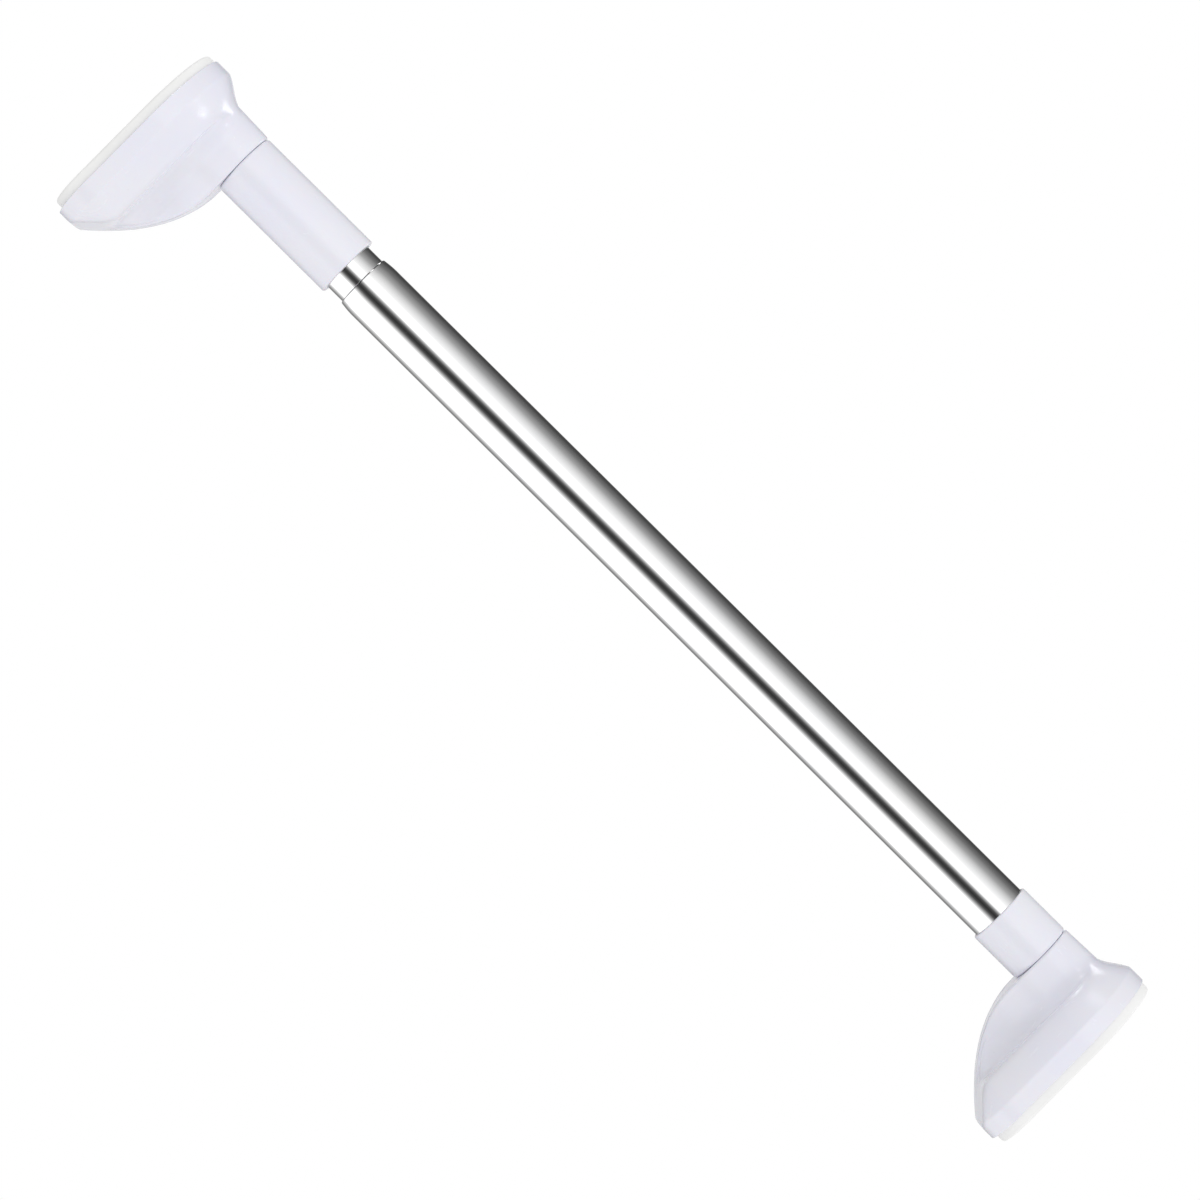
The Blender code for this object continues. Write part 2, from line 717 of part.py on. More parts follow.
def pad(name, mirrored):
    """Rubber pad with a rounded rim and two ring channels in its grip face."""
    rings = [lifted(plan_outline(PAD_INSET), PAD_BACK)]
    for step in range(EDGE_STEPS + 1):
        angle = 0.5 * math.pi * step / EDGE_STEPS
        inset = PAD_INSET + PAD_CORNER * (1.0 - math.cos(angle))
        rings.append(lifted(plan_outline(inset), PAD_CORNER * (1.0 - math.sin(angle))))
    flank = PAD_CHANNEL_DEPTH / 2.0
    for inset in PAD_CHANNELS:
        rings.append(lifted(plan_outline(inset), 0.0))
        rings.append(lifted(plan_outline(inset + flank), PAD_CHANNEL_DEPTH))
        rings.append(lifted(plan_outline(inset + PAD_CHANNEL_WIDTH - flank), PAD_CHANNEL_DEPTH))
        rings.append(lifted(plan_outline(inset + PAD_CHANNEL_WIDTH), 0.0))
    return foot_piece(name, rings, False, "grip_rubber", mirrored, 0.0)


def plate_screw(name, mirrored, spot):
    """Countersunk self-tapping screw with a slotted head."""
    neck = SCREW_FACE + SCREW_HEAD_DEPTH
    profile = (
        (SCREW_FACE, SCREW_HEAD),
        (SCREW_FACE + SCREW_HEAD_RIM, SCREW_HEAD),
        (neck, SCREW_SHANK),
        (SCREW_TIP - SCREW_POINT_LENGTH, SCREW_SHANK),
        (SCREW_TIP, SCREW_POINT_RADIUS),
    )
    placed = [(foot_x(x, mirrored), radius) for x, radius in profile]
    node = turned(name, placed, "zinc_steel", False, SMALL_ROUND, spot)
    face = Vector((foot_x(SCREW_FACE, mirrored), *spot))
    cutter_mesh = bpy.data.meshes.new("slot")
    work = bmesh.new()
    bmesh.ops.create_cube(work, size=1.0)
    size = Vector((2.0 * SCREW_SLOT_DEPTH, 3.0 * SCREW_HEAD, SCREW_SLOT_WIDTH))
    placing = Matrix.Translation(face) @ Matrix.Diagonal((*size, 1.0))
    bmesh.ops.transform(work, matrix=placing, verts=work.verts)
    work.to_mesh(cutter_mesh)
    work.free()
    cutter = add_object("slot", cutter_mesh, "zinc_steel")
    bake_boolean(node, [cutter], "DIFFERENCE")
    return node


def thrust_washer(name, mirrored):
    """Plain ring that the collar or sleeve turns against."""
    profile = (
        (WASHER_START, NECK_BORE),
        (WASHER_END, NECK_BORE),
        (WASHER_END, WASHER_RADIUS),
        (WASHER_START, WASHER_RADIUS),
    )
    placed = [(foot_x(x, mirrored), radius) for x, radius in profile]
    return turned(name, placed, "natural_acetal", True, HIDDEN_ROUND)


def split_ring(name, sections, material, origin):
    """Open ring from one closed section per step, with flat ends."""
    vertices, faces = loft(sections)
    return add_object(name, mesh_from(name, vertices, faces), material, origin)


def band_section(angle, start, end, inner, outer):
    """Rectangle across a ring wall at one angle."""
    section = []
    for x, radius in ((start, inner), (end, inner), (end, outer), (start, outer)):
        section.append(Vector((x, radius * math.cos(angle), radius * math.sin(angle))))
    return section


def retaining_clip(name, mirrored):
    """C-shaped clip in the spigot's groove."""
    sections = []
    for step in range(HIDDEN_ROUND + 1):
        angle = -0.5 * math.pi + 0.5 * CLIP_OPENING + (2.0 * math.pi - CLIP_OPENING) * step / HIDDEN_ROUND
        start = foot_x(CLIP_START, mirrored)
        end = foot_x(CLIP_END, mirrored)
        sections.append(band_section(angle, start, end, CLIP_INNER, CLIP_OUTER))
    return split_ring(name, sections, "spring_steel", (foot_x(CLIP_START, mirrored), 0.0, 0.0))


def foot(label, mirrored):
    """All the pieces of one foot."""
    shell(f"{label}_foot_shell", mirrored)
    base_plate(f"{label}_foot_base_plate", mirrored)
    pad(f"{label}_foot_rubber_pad", mirrored)
    for index, spot in enumerate(SCREW_SPOTS, start=1):
        plate_screw(f"{label}_foot_screw_{index}", mirrored, spot)
    thrust_washer(f"{label}_foot_thrust_washer", mirrored)
    retaining_clip(f"{label}_foot_retaining_clip", mirrored)


# ---------------------------------------------------------------- fixed end of the tube

def spigot_profile(mirrored):
    """Outside of a swivel spigot, from its tip to the face that meets the washer."""
    points = (
        (SPIGOT_TIP, SPIGOT_RADIUS - SPIGOT_CHAMFER),
        (SPIGOT_TIP + SPIGOT_CHAMFER, SPIGOT_RADIUS),
        (CLIP_START - FIT_GAP, SPIGOT_RADIUS),
        (CLIP_START - FIT_GAP, SPIGOT_GROOVE_RADIUS),
        (WEB_INSIDE, SPIGOT_GROOVE_RADIUS),
        (WEB_INSIDE, SPIGOT_RADIUS),
    )
    return [(foot_x(x, mirrored), radius) for x, radius in points]


def rounded_band(start, end, radius, edge):
    """Outer profile of a cylinder with both rims rounded, from start to end."""
    first = []
    for step in range(EDGE_STEPS + 1):
        angle = 0.5 * math.pi * step / EDGE_STEPS
        first.append((start + edge * (1.0 - math.cos(angle)), radius - edge * (1.0 - math.sin(angle))))
    last = [(end - (x - start), edge_radius) for x, edge_radius in reversed(first)]
    return first + last


def tube_end():
    """Plug, collar, pin and outer tube."""
    profile = spigot_profile(False) + [
        (PLUG_FLANGE_START, SPIGOT_RADIUS),
        (PLUG_FLANGE_START, PLUG_FLANGE_RADIUS),
        (PLUG_FLANGE_END, PLUG_FLANGE_RADIUS),
        (PLUG_FLANGE_END, PLUG_BARREL),
        (PLUG_END, PLUG_BARREL),
        (PLUG_END, PLUG_CORE),
        (PLUG_CORE_FLOOR, PLUG_CORE),
    ]
    blind = [
        (PLUG_BLIND_FLOOR, PLUG_BLIND),
        (SPIGOT_TIP, PLUG_BLIND),
    ]
    name = "outer_tube_end_plug"
    plug = turned(name, blind + profile, "white_abs", False, HIDDEN_ROUND, (0.0, 0.0), COLLAR_START)
    drill_across(plug, PLUG_PIN_X, 2.0 * OUTER_RADIUS)
    cross_pin("outer_tube_plug_pin", PLUG_PIN_X, OUTER_RADIUS - PIN_SET_BACK)
    collar_end = COLLAR_START + COLLAR_LENGTH
    lip = PLUG_FLANGE_START - FIT_GAP
    inside = OUTER_RADIUS + FIT_GAP
    collar = rounded_band(COLLAR_START, collar_end, COLLAR_RADIUS, EDGE_ROUND)
    collar += [(collar_end, inside), (lip, inside), (lip, NECK_BORE), (COLLAR_START, NECK_BORE)]
    turned("tube_end_collar", collar, "white_abs")
    mouth_radius = OUTER_RADIUS - SWAGE_DROP
    tube = [
        (OUTER_TUBE_START, OUTER_RADIUS),
        (TUBE_MOUTH - SWAGE_LENGTH, OUTER_RADIUS),
        (TUBE_MOUTH - 0.5 * SWAGE_LENGTH, OUTER_RADIUS - 0.25 * SWAGE_DROP),
        (TUBE_MOUTH - LIP_BEND, mouth_radius),
        (TUBE_MOUTH - 0.3 * LIP_BEND, mouth_radius - 0.3 * LIP_BEND),
        (TUBE_MOUTH, mouth_radius - LIP_BEND),
        (TUBE_MOUTH - LIP_LEAD, LIP_BORE),
        (TUBE_MOUTH - LIP_LENGTH, LIP_BORE),
        (TUBE_MOUTH - SWAGE_LENGTH, OUTER_BORE),
        (OUTER_TUBE_START, OUTER_BORE),
    ]
    outer = turned("outer_tube", tube, "chrome_tube")
    drill_across(outer, PLUG_PIN_X, 2.0 * OUTER_RADIUS)


# ---------------------------------------------------------------- twist lock

def lock_plug():
    """Plug in the inner tube with a groove for the glide ring and an off-centre pin for the cam."""
    rings = []
    off = (0.0, ECCENTRICITY)
    blind = (
        (LOCK_SCREW_HOLE_END, LOCK_SCREW_HOLE, off),
        (ECCENTRIC_START, LOCK_SCREW_HOLE, off),
        (ECCENTRIC_START, ECCENTRIC_RADIUS, off),
        (LOCK_SHOULDER_START, ECCENTRIC_RADIUS, off),
        (LOCK_SHOULDER_START, LOCK_SHOULDER_RADIUS, (0.0, 0.0)),
        (GROOVE_START, LOCK_SHOULDER_RADIUS, (0.0, 0.0)),
        (GROOVE_START, GROOVE_RADIUS, (0.0, 0.0)),
        (LOCK_FLANGE_START, GROOVE_RADIUS, (0.0, 0.0)),
        (LOCK_FLANGE_START, INNER_RADIUS, (0.0, 0.0)),
        (INNER_TUBE_START - FIT_GAP, INNER_RADIUS, (0.0, 0.0)),
        (INNER_TUBE_START - FIT_GAP, LOCK_BARREL, (0.0, 0.0)),
        (LOCK_BARREL_END, LOCK_BARREL, (0.0, 0.0)),
        (LOCK_BARREL_END, LOCK_CORE, (0.0, 0.0)),
        (LOCK_CORE_FLOOR, LOCK_CORE, (0.0, 0.0)),
    )
    for x, radius, centre in blind:
        rings.append(circle(x, radius, HIDDEN_ROUND, centre))
    vertices, faces = loft(rings)
    mesh = mesh_from("lock_plug", vertices, faces)
    node = add_object("lock_plug", mesh, "black_nylon", (INNER_TUBE_START, 0.0, 0.0))
    drill_across(node, LOCK_PIN_X, 2.0 * INNER_RADIUS)


def glide_ring():
    """Split ring that drags lightly in the outer tube's bore."""
    start = GROOVE_START + FIT_GAP
    end = LOCK_FLANGE_START - FIT_GAP
    steps = ROUND
    sections = []
    for step in range(steps + 1):
        angle = 0.5 * math.pi + 0.5 * CAM_SPLIT + (2.0 * math.pi - CAM_SPLIT) * step / steps
        sections.append(band_section(angle, start, end, GLIDE_INNER, GLIDE_OUTER))
    split_ring("glide_ring", sections, "natural_acetal", (start, 0.0, 0.0))


def lock_cam():
    """Ridged split ring that sits on the off-centre pin and wedges in the bore when it is turned."""
    start = ECCENTRIC_START
    end = LOCK_SHOULDER_START - FIT_GAP
    bore = ECCENTRIC_RADIUS + FIT_GAP
    steps = 2 * CAM_RIDGES
    sections = []
    for step in range(steps + 1):
        angle = -0.5 * math.pi + 0.5 * CAM_SPLIT + (2.0 * math.pi - CAM_SPLIT) * step / steps
        rise = ECCENTRICITY * math.sin(angle)
        inner = rise + math.sqrt(bore * bore - (ECCENTRICITY * math.cos(angle)) ** 2)
        outer = CAM_OUTER - (CAM_RIDGE if step % 2 else 0.0)
        sections.append(band_section(angle, start, end, inner, outer))
    split_ring("lock_cam_ring", sections, "natural_acetal", (start, 0.0, ECCENTRICITY))


def twist_lock():
    """Plug, rings, washer and screw at the inner end of the inner tube."""
    centre = (0.0, ECCENTRICITY)
    lock_plug()
    glide_ring()
    lock_cam()
    cross_pin("lock_plug_pin", LOCK_PIN_X, INNER_RADIUS - FIT_GAP)
    washer = (
        (LOCK_WASHER_START, LOCK_SCREW_HOLE),
        (LOCK_WASHER_END, LOCK_SCREW_HOLE),
        (LOCK_WASHER_END, LOCK_WASHER_RADIUS),
        (LOCK_WASHER_START, LOCK_WASHER_RADIUS),
    )
    turned("lock_cam_washer", washer, "zinc_steel", True, HIDDEN_ROUND, centre)
    screw = (
        (LOCK_SCREW_FACE + LOCK_SCREW_SOCKET_DEPTH, LOCK_SCREW_SOCKET),
        (LOCK_SCREW_FACE, LOCK_SCREW_SOCKET),
        (LOCK_SCREW_FACE, LOCK_SCREW_HEAD - LOCK_SCREW_CROWN),
        (LOCK_SCREW_FACE + LOCK_SCREW_CROWN, LOCK_SCREW_HEAD),
        (LOCK_SCREW_HEAD_END, LOCK_SCREW_HEAD),
        (LOCK_SCREW_HEAD_END, LOCK_SCREW_SHANK),
        (LOCK_SCREW_TIP - LOCK_SCREW_POINT, LOCK_SCREW_SHANK),
        (LOCK_SCREW_TIP, LOCK_SCREW_SHANK - 0.9 * LOCK_SCREW_POINT),
    )
    turned("lock_cam_screw", screw, "zinc_steel", False, SMALL_ROUND, centre)


def inner_tube():
    """Thin chromed tube, pinned to the lock plug and to the jack plug."""
    tube = (
        (INNER_TUBE_START, INNER_RADIUS),
        (INNER_TUBE_END, INNER_RADIUS),
        (INNER_TUBE_END, INNER_BORE),
        (INNER_TUBE_START, INNER_BORE),
    )
    node = turned("inner_tube", tube, "chrome_tube")
    drill_across(node, LOCK_PIN_X, 2.0 * INNER_RADIUS)
    drill_across(node, END_PIN_X, 2.0 * INNER_RADIUS)


# ---------------------------------------------------------------- screw jack

def thread_profile(minor, major):
    """(radius, share of pitch) of one trapezoidal turn, starting at the foot of the first flank."""
    rise_end = THREAD_FLANK
    crest_end = rise_end + THREAD_CREST
    fall_end = crest_end + THREAD_FLANK
    return ((minor, 0.0), (major, rise_end), (major, crest_end), (minor, fall_end))


def helix_point(step, entry, base):
    """Point on the right-hand helix."""
    radius, share = entry
    angle = 2.0 * math.pi * step / THREAD_SEGMENTS
    x = base + THREAD_PITCH * (step / THREAD_SEGMENTS + share)
    return Vector((x, radius * math.cos(angle), radius * math.sin(angle)))


def threaded_solid(base, turns, profile, lead_in, lead_out):
    """Skin of a helical thread with blunt starts, closed by the given end rings.

    lead_in and lead_out are lists of (x, radius) rings that run from the thread's minor
    radius to a flat cap (solid) or to a return wall (hollow).
    """
    segments = THREAD_SEGMENTS
    width = len(profile)
    total = int(turns * segments)
    vertices = []
    for step in range(total + 1):
        for entry in profile:
            vertices.append(helix_point(step, entry, base))

    def at(step, column):
        return step * width + column

    last_turn = len(vertices)
    minor = profile[0]
    for step in range(total + 1 - segments, total + 1):
        vertices.append(helix_point(step + segments, minor, base))

    def next_foot(step):
        if step + segments <= total:
            return at(step + segments, 0)
        return last_turn + step - (total + 1 - segments)

    faces = []
    for step in range(total):
        for column in range(width - 1):
            after = column + 1
            faces.append((at(step, column), at(step + 1, column), at(step + 1, after), at(step, after)))
        faces.append((at(step, width - 1), at(step + 1, width - 1), next_foot(step + 1), next_foot(step)))

    def add_ring(x, radius):
        first = len(vertices)
        vertices.extend(circle(x, radius, segments))
        return list(range(first, first + segments))

    start_rings = [add_ring(x, radius) for x, radius in lead_in]
    end_rings = [add_ring(x, radius) for x, radius in lead_out]
    near = start_rings[0]
    for step in range(segments - 1):
        faces.append((near[step], near[step + 1], at(step + 1, 0), at(step, 0)))
    faces.append((near[-1], near[0], at(0, 0), at(0, width - 1), at(segments, 0), at(segments - 1, 0)))
    faces.append(tuple(at(0, column) for column in range(width)))
    far = end_rings[0]
    for offset in range(segments - 1):
        step = total + 1 - segments + offset
        low = step % segments
        high = (step + 1) % segments
        faces.append((next_foot(step), next_foot(step + 1), far[high], far[low]))
    before = total - segments
    low = before % segments
    high = (before + 1) % segments
    last = (at(total, 0), next_foot(before + 1), far[high], far[low], next_foot(total), at(total, width - 1))
    faces.append(last)
    faces.append(tuple(at(total, column) for column in range(width)))
    for group in (start_rings, end_rings):
        for first, second in zip(group, group[1:]):
            for step in range(segments):
                after = (step + 1) % segments
                faces.append((first[step], first[after], second[after], second[step]))
    return vertices, faces, start_rings, end_rings


def jack_screw():
    """Trapezoidal screw with a plain shank pinned in the jack plug."""
    run = THREAD_END - THREAD_START - THREAD_PITCH
    turns = math.floor(run / THREAD_PITCH)
    profile = thread_profile(THREAD_MINOR, THREAD_MAJOR)
    step_x = THREAD_START - THREAD_RELIEF
    lead_in = ((step_x, THREAD_MINOR), (step_x, JACK_SHANK), (JACK_SHANK_START, JACK_SHANK))
    lead_out = ((THREAD_END, THREAD_MINOR), (THREAD_TIP, THREAD_MINOR - THREAD_CHAMFER))
    vertices, faces, start_rings, end_rings = threaded_solid(THREAD_START, turns, profile, lead_in, lead_out)
    faces.append(tuple(start_rings[-1]))
    faces.append(tuple(end_rings[-1]))
    mesh = mesh_from("jack_screw", vertices, faces)
    node = add_object("jack_screw", mesh, "zinc_steel", (JACK_SHANK_START, 0.0, 0.0))
    drill_across(node, END_PIN_X, 2.0 * JACK_SHANK)


def jack_nut():
    """Hexagonal brass nut: a hex prism, bored, with the screw's thread cut through it with clearance."""
    outer = [hexagon(NUT_START, NUT_HALF_FLATS), hexagon(NUT_END, NUT_HALF_FLATS)]
    vertices, faces = loft(outer)
    node = add_object("jack_nut", mesh_from("jack_nut", vertices, faces), "brass", (NUT_START, 0.0, 0.0))
    profile = thread_profile(THREAD_MINOR + FIT_GAP, THREAD_MAJOR + FIT_GAP)
    base = THREAD_START - TAP_LEAD * THREAD_PITCH
    lead_in = ((base - TAP_CAP * THREAD_PITCH, THREAD_MINOR + FIT_GAP),)
    lead_out = ((base + (TAP_TURNS + 1.0 + TAP_CAP) * THREAD_PITCH, THREAD_MINOR + FIT_GAP),)
    vertices, faces, start_rings, end_rings = threaded_solid(base, TAP_TURNS, profile, lead_in, lead_out)
    faces.append(tuple(start_rings[-1]))
    faces.append(tuple(end_rings[-1]))
    cutter = add_object("tap", mesh_from("tap", vertices, faces), "brass")
    bake_boolean(node, [cutter], "DIFFERENCE")


def sleeve():
    """Grip sleeve with a hexagonal nut pocket and the swivel spigot of the jack foot."""
    bore_end = POCKET_START - POCKET_LEAD
    rings = []
    for x, radius in rounded_band(SLEEVE_START, SLEEVE_END, SLEEVE_RADIUS, EDGE_ROUND):
        rings.append(circle(x, radius))
    rings.append(circle(SLEEVE_END, SPIGOT_RADIUS))
    for x, radius in reversed(spigot_profile(True)):
        rings.append(circle(x, radius))
    rings.append(circle(foot_x(SPIGOT_TIP, True), SPIGOT_BORE))
    rings.append(circle(POCKET_FLOOR, SPIGOT_BORE))
    rings.append(hexagon(POCKET_FLOOR, POCKET_HALF_FLATS))
    rings.append(hexagon(POCKET_START, POCKET_HALF_FLATS))
    rings.append(circle(bore_end, SLEEVE_BORE))
    rings.append(circle(SLEEVE_START, SLEEVE_BORE))
    vertices, faces = loft(rings, True)
    mesh = mesh_from("jack_sleeve", vertices, faces)
    add_object("jack_sleeve", mesh, "white_abs", (SLEEVE_END, 0.0, 0.0))


def screw_jack():
    """Jack plug, its pin, the screw, the nut and the sleeve."""
    plug = (
        (JACK_HOLE_START, JACK_SHANK_HOLE),
        (END_PLUG_FACE, JACK_SHANK_HOLE),
        (END_PLUG_FACE, INNER_RADIUS),
        (END_PLUG_FLANGE, INNER_RADIUS),
        (END_PLUG_FLANGE, LOCK_BARREL),
        (END_PLUG_START, LOCK_BARREL),
    )
    node = turned("jack_plug", plug, "black_nylon", False, HIDDEN_ROUND)
    drill_across(node, END_PIN_X, 2.0 * INNER_RADIUS)
    cross_pin("jack_plug_pin", END_PIN_X, INNER_RADIUS - FIT_GAP)
    jack_screw()
    jack_nut()
    sleeve()


clear_scene()
foot("fixed", False)
tube_end()
twist_lock()
inner_tube()
screw_jack()
foot("jack", True)
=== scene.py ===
"""Looks of the telescoping window security bar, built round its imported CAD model."""

import json
import math

import bmesh
import bpy
from mathutils import Matrix, Vector


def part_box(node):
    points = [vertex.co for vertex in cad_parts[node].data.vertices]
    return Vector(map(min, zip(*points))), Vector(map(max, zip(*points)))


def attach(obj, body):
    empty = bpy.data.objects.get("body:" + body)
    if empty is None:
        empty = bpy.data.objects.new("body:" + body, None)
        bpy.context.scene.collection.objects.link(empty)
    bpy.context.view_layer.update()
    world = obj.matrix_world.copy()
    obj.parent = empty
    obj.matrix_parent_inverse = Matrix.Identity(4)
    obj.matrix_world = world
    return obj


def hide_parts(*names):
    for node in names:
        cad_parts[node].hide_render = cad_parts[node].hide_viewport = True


MM = 0.001
WHITE = (1.0, 1.0, 1.0)

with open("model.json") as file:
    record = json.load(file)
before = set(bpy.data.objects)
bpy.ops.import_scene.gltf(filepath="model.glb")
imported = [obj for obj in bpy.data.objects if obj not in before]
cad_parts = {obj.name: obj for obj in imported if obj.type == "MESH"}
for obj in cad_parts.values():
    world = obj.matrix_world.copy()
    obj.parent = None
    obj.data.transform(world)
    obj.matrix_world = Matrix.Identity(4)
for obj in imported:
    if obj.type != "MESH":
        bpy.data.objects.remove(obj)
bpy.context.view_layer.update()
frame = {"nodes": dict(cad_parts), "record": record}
NODES = frame["nodes"]
SLOTS = {part["node"]: part["material_slot"] for part in frame["record"]["subparts"]}


def span(node):
    """First and last X of a CAD node."""
    low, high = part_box(node)
    return low.x, high.x


# Places along the bar, read from the CAD
BAR_LENGTH = span("jack_foot_rubber_pad")[1]
RIM_BASE, FOOT_DEPTH = span("fixed_foot_shell")
COLLAR_START, COLLAR_END = span("tube_end_collar")
OUTER_TUBE_START, TUBE_MOUTH = span("outer_tube")
INNER_TUBE_START, INNER_TUBE_END = span("inner_tube")
SLEEVE_START, SPIGOT_TIP_X = span("jack_sleeve")
SLEEVE_END = BAR_LENGTH - COLLAR_START
NUT_START, NUT_END = span("jack_nut")

# Tubes
OUTER_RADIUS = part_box("outer_tube")[1].z
INNER_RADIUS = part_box("inner_tube")[1].z
TUBE_WALL = 0.7 * MM
OUTER_TUBE_EDGE = 0.15 * MM
INNER_TUBE_EDGE = 0.12 * MM
FIT_GAP = 0.3 * MM

# Mouth of the thick tube: a slow swage, then a lip rolled through LIP_SWEEP degrees
SWAGE_LENGTH = 7.0 * MM
SWAGE_DROP = 0.45 * MM
LIP_REACH = 1.0 * MM
LIP_MARGIN = 0.1 * MM
LIP_FIRST_ANGLE = 80.0
LIP_SWEEP = 70.0
LIP_BREAK = 0.02 * MM
LIP_FACE = 0.3 * MM
LIP_LAND = 1.2 * MM

# Collar and sleeve. Towards the foot both reach SEAM_COVER past the CAD's end, but only
# outside SEAM_LAND, so that the thrust washer keeps its room.
COLLAR_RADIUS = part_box("tube_end_collar")[1].z
SLEEVE_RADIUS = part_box("jack_sleeve")[1].z
SEAM_COVER = 0.3 * MM
SEAM_LAND = 12.2 * MM
FOOT_SIDE_ROUND = 1.1 * MM
TUBE_SIDE_ROUND = 0.7 * MM
BORE_BREAK = 0.2 * MM
COLLAR_WEB = 2.2 * MM
NUT_POCKET = 9.8 * MM
POCKET_MOUTH = 0.4 * MM
POCKET_LEAD = 0.8 * MM
SPIGOT_RADIUS = 8.2 * MM
SPIGOT_GROOVE = 7.2 * MM
SPIGOT_BORE = 5.6 * MM
SPIGOT_CHAMFER = 0.5 * MM

# Bore through the foot's neck
NECK_BORE = SPIGOT_RADIUS + FIT_GAP
COUNTERBORE_RADIUS = 12.1 * MM
COUNTERBORE_DEPTH = 1.4 * MM
NECK_WEB = 3.0 * MM
CLIP_GROOVE = 1.6 * MM
COUNTERBORE_FLOOR = FOOT_DEPTH - COUNTERBORE_DEPTH
WEB_INSIDE = COUNTERBORE_FLOOR - NECK_WEB
CLIP_INSIDE = WEB_INSIDE - CLIP_GROOVE

# Foot plan, looking along the bar: a half circle, straight sides and a rounded bottom
PLAN_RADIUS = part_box("fixed_foot_shell")[1].y
PLAN_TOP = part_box("fixed_foot_shell")[1].z
PLAN_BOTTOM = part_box("fixed_foot_shell")[0].z
PLAN_CENTRE = PLAN_TOP - PLAN_RADIUS
PLAN_CORNER = 15.0 * MM
LEAST_CORNER = 1.0 * MM

# Neck and keel
NECK_ROOT_RADIUS = 14.5 * MM
WALL_DRAFT = 0.5 * MM
TIP_DRAFT = 1.0 * MM
KEEL_WAIST = -10.0 * MM
KEEL_TAPER = 15.0 * MM
KEEL_END = -52.0 * MM
KEEL_END_HALF_WIDTH = 6.5 * MM
KEEL_NOSE = 8.0 * MM
SPINE_START = -17.0 * MM
SPINE_DROP = 28.5 * MM
SPINE_EDGE = 1.2 * MM
SPINE_FADE_LOW = 20.0 * MM
SPINE_FADE_SPAN = 9.0 * MM

# Flange and rim
FLANGE_FLOOR = 22.6 * MM
FLANGE_RIM = 12.0 * MM
FLANGE_RUN = 11.0 * MM
FLANGE_POWER = 1.8
VALLEY_RADIUS = 9.0 * MM
VALLEY_SHARE = 0.5
BLEND = 1.5 * MM
CROWN_ROUND = 6.0 * MM
CROWN_SLOPE = 0.10
RIM_EDGE_INSET = 0.35 * MM
RIM_LAND = 2.0 * MM
RIM_FOOT_ROUND = 0.12 * MM

# Hollow of the shell
SHELL_WALL = 2.4 * MM
CAVITY_WALL = 2.9 * MM
CAVITY_ROOF = 2.6 * MM
CAVITY_SHIFT = 2.0 * MM
CAVITY_LOW = 8.7 * MM
CAVITY_TIP_DRAFT = 1.0 * MM

# Pad. A rib is (share of the pitch, share of the depth) from its first edge.
PAD_INSET = 1.5 * MM
PAD_LIFT = 0.6 * MM
PAD_CORNER = 1.2 * MM
PAD_BACK_GAP = 0.04 * MM
PAD_BORDER = 1.5 * MM
PAD_CHANNELS = (7.0 * MM, 12.5 * MM)
PAD_CHANNEL_WIDTH = 2.2 * MM
PAD_CHANNEL_DEPTH = 0.9 * MM
PAD_CHANNEL_MARGIN = 0.5 * MM
PAD_RIB_MARGIN = 0.4 * MM
PAD_RIB_FIELD = 5.0 * MM
PAD_RIB_PITCH = 1.3 * MM
PAD_RIB_DEPTH = 0.25 * MM
PAD_RIB = ((0.0, 0.0), (0.25, 1.0), (0.40, 1.0), (0.65, 0.0))

# Facets of the visible pieces
ROUND = 96
ARC_STEPS = 6
MOUTH_STEPS = 8
ARCH_STEPS = 60
SIDE_STEPS = 40
CORNER_STEPS = 10
BOTTOM_STEPS = 24
FACE_STEPS = 14
EDGE_STEPS = 5
WALL_STEPS = 6
FLANK_STEPS = 44
FLANK_CROWDING = 2.2
PAD_EDGE_STEPS = 4
CAVITY_FLANK_SHARES = (1.0, 0.8, 0.6, 0.4, 0.25, 0.15, 0.08, 0.03)
CAVITY_WALL_SHARES = (1.0, 0.5, 0.0)
CAVITY_ROOF_SHARES = (0.8, 0.6, 0.4, 0.2, 0.0)
SHARP_ANGLE = math.radians(40.0)

# Most of a noise's values lie between these two
NOISE_LOW = 0.3
NOISE_HIGH = 0.7

# View
VIEW_WIDTH = 0.4749
CAMERA_DISTANCE = 2.24
CAMERA_AIM = Vector((0.2623, 0.0, -0.0233))
CAMERA_ROLL = math.radians(44.774)
CAMERA_REACH = 50.0
SENSOR = 36.0
FLOOR_HEIGHT = -0.60
FLOOR_RADIUS = 6.0
FLOOR_SIDES = 96

# What polished metal reflects, as (degrees about the bar, level): 0 faces the camera side
# (+Y) and 90 is straight up. The bright bands are white cards, the dark ones flags.
CARDS = (
    (-180, 0.80), (-167, 0.80), (-162, 0.18), (-155, 0.20), (-143, 0.30), (-125, 0.70),
    (-116, 1.30), (-47, 1.30), (-43, 0.95), (-35, 0.36), (-27.6, 0.085), (-18.4, 0.025),
    (-9.3, 0.085), (-2, 0.42), (2, 0.92), (5, 1.30), (28, 1.30), (37, 1.02), (57, 0.74),
    (78.5, 0.38), (105, 0.17), (133, 0.070), (145, 0.060), (162, 0.080), (168, 0.75),
    (180, 0.75),
)
# Reflections towards the ends of the bar fade to END_LEVEL between these shares of X
END_FADE = (0.30, 0.70)
END_LEVEL = 0.12
# Small lamps as (one at each end, direction, half-angle in degrees, level)
LAMPS = (
    (True, (0.53, -0.53, 0.67), 9.0, 4.5),
    (False, (-0.70, 0.22, 0.68), 8.0, 6.5),
    (False, (0.66, 0.30, 0.69), 12.0, 2.2),
    (False, (0.90, -0.23, 0.36), 7.0, 9.0),
)
# Soft light on matt surfaces: a level, and how it leans with direction
FILL_LEVEL = 0.93
FILL_LEAN = (-0.18, 0.14, 0.09)


# ---------------------------------------------------------------- mesh helpers

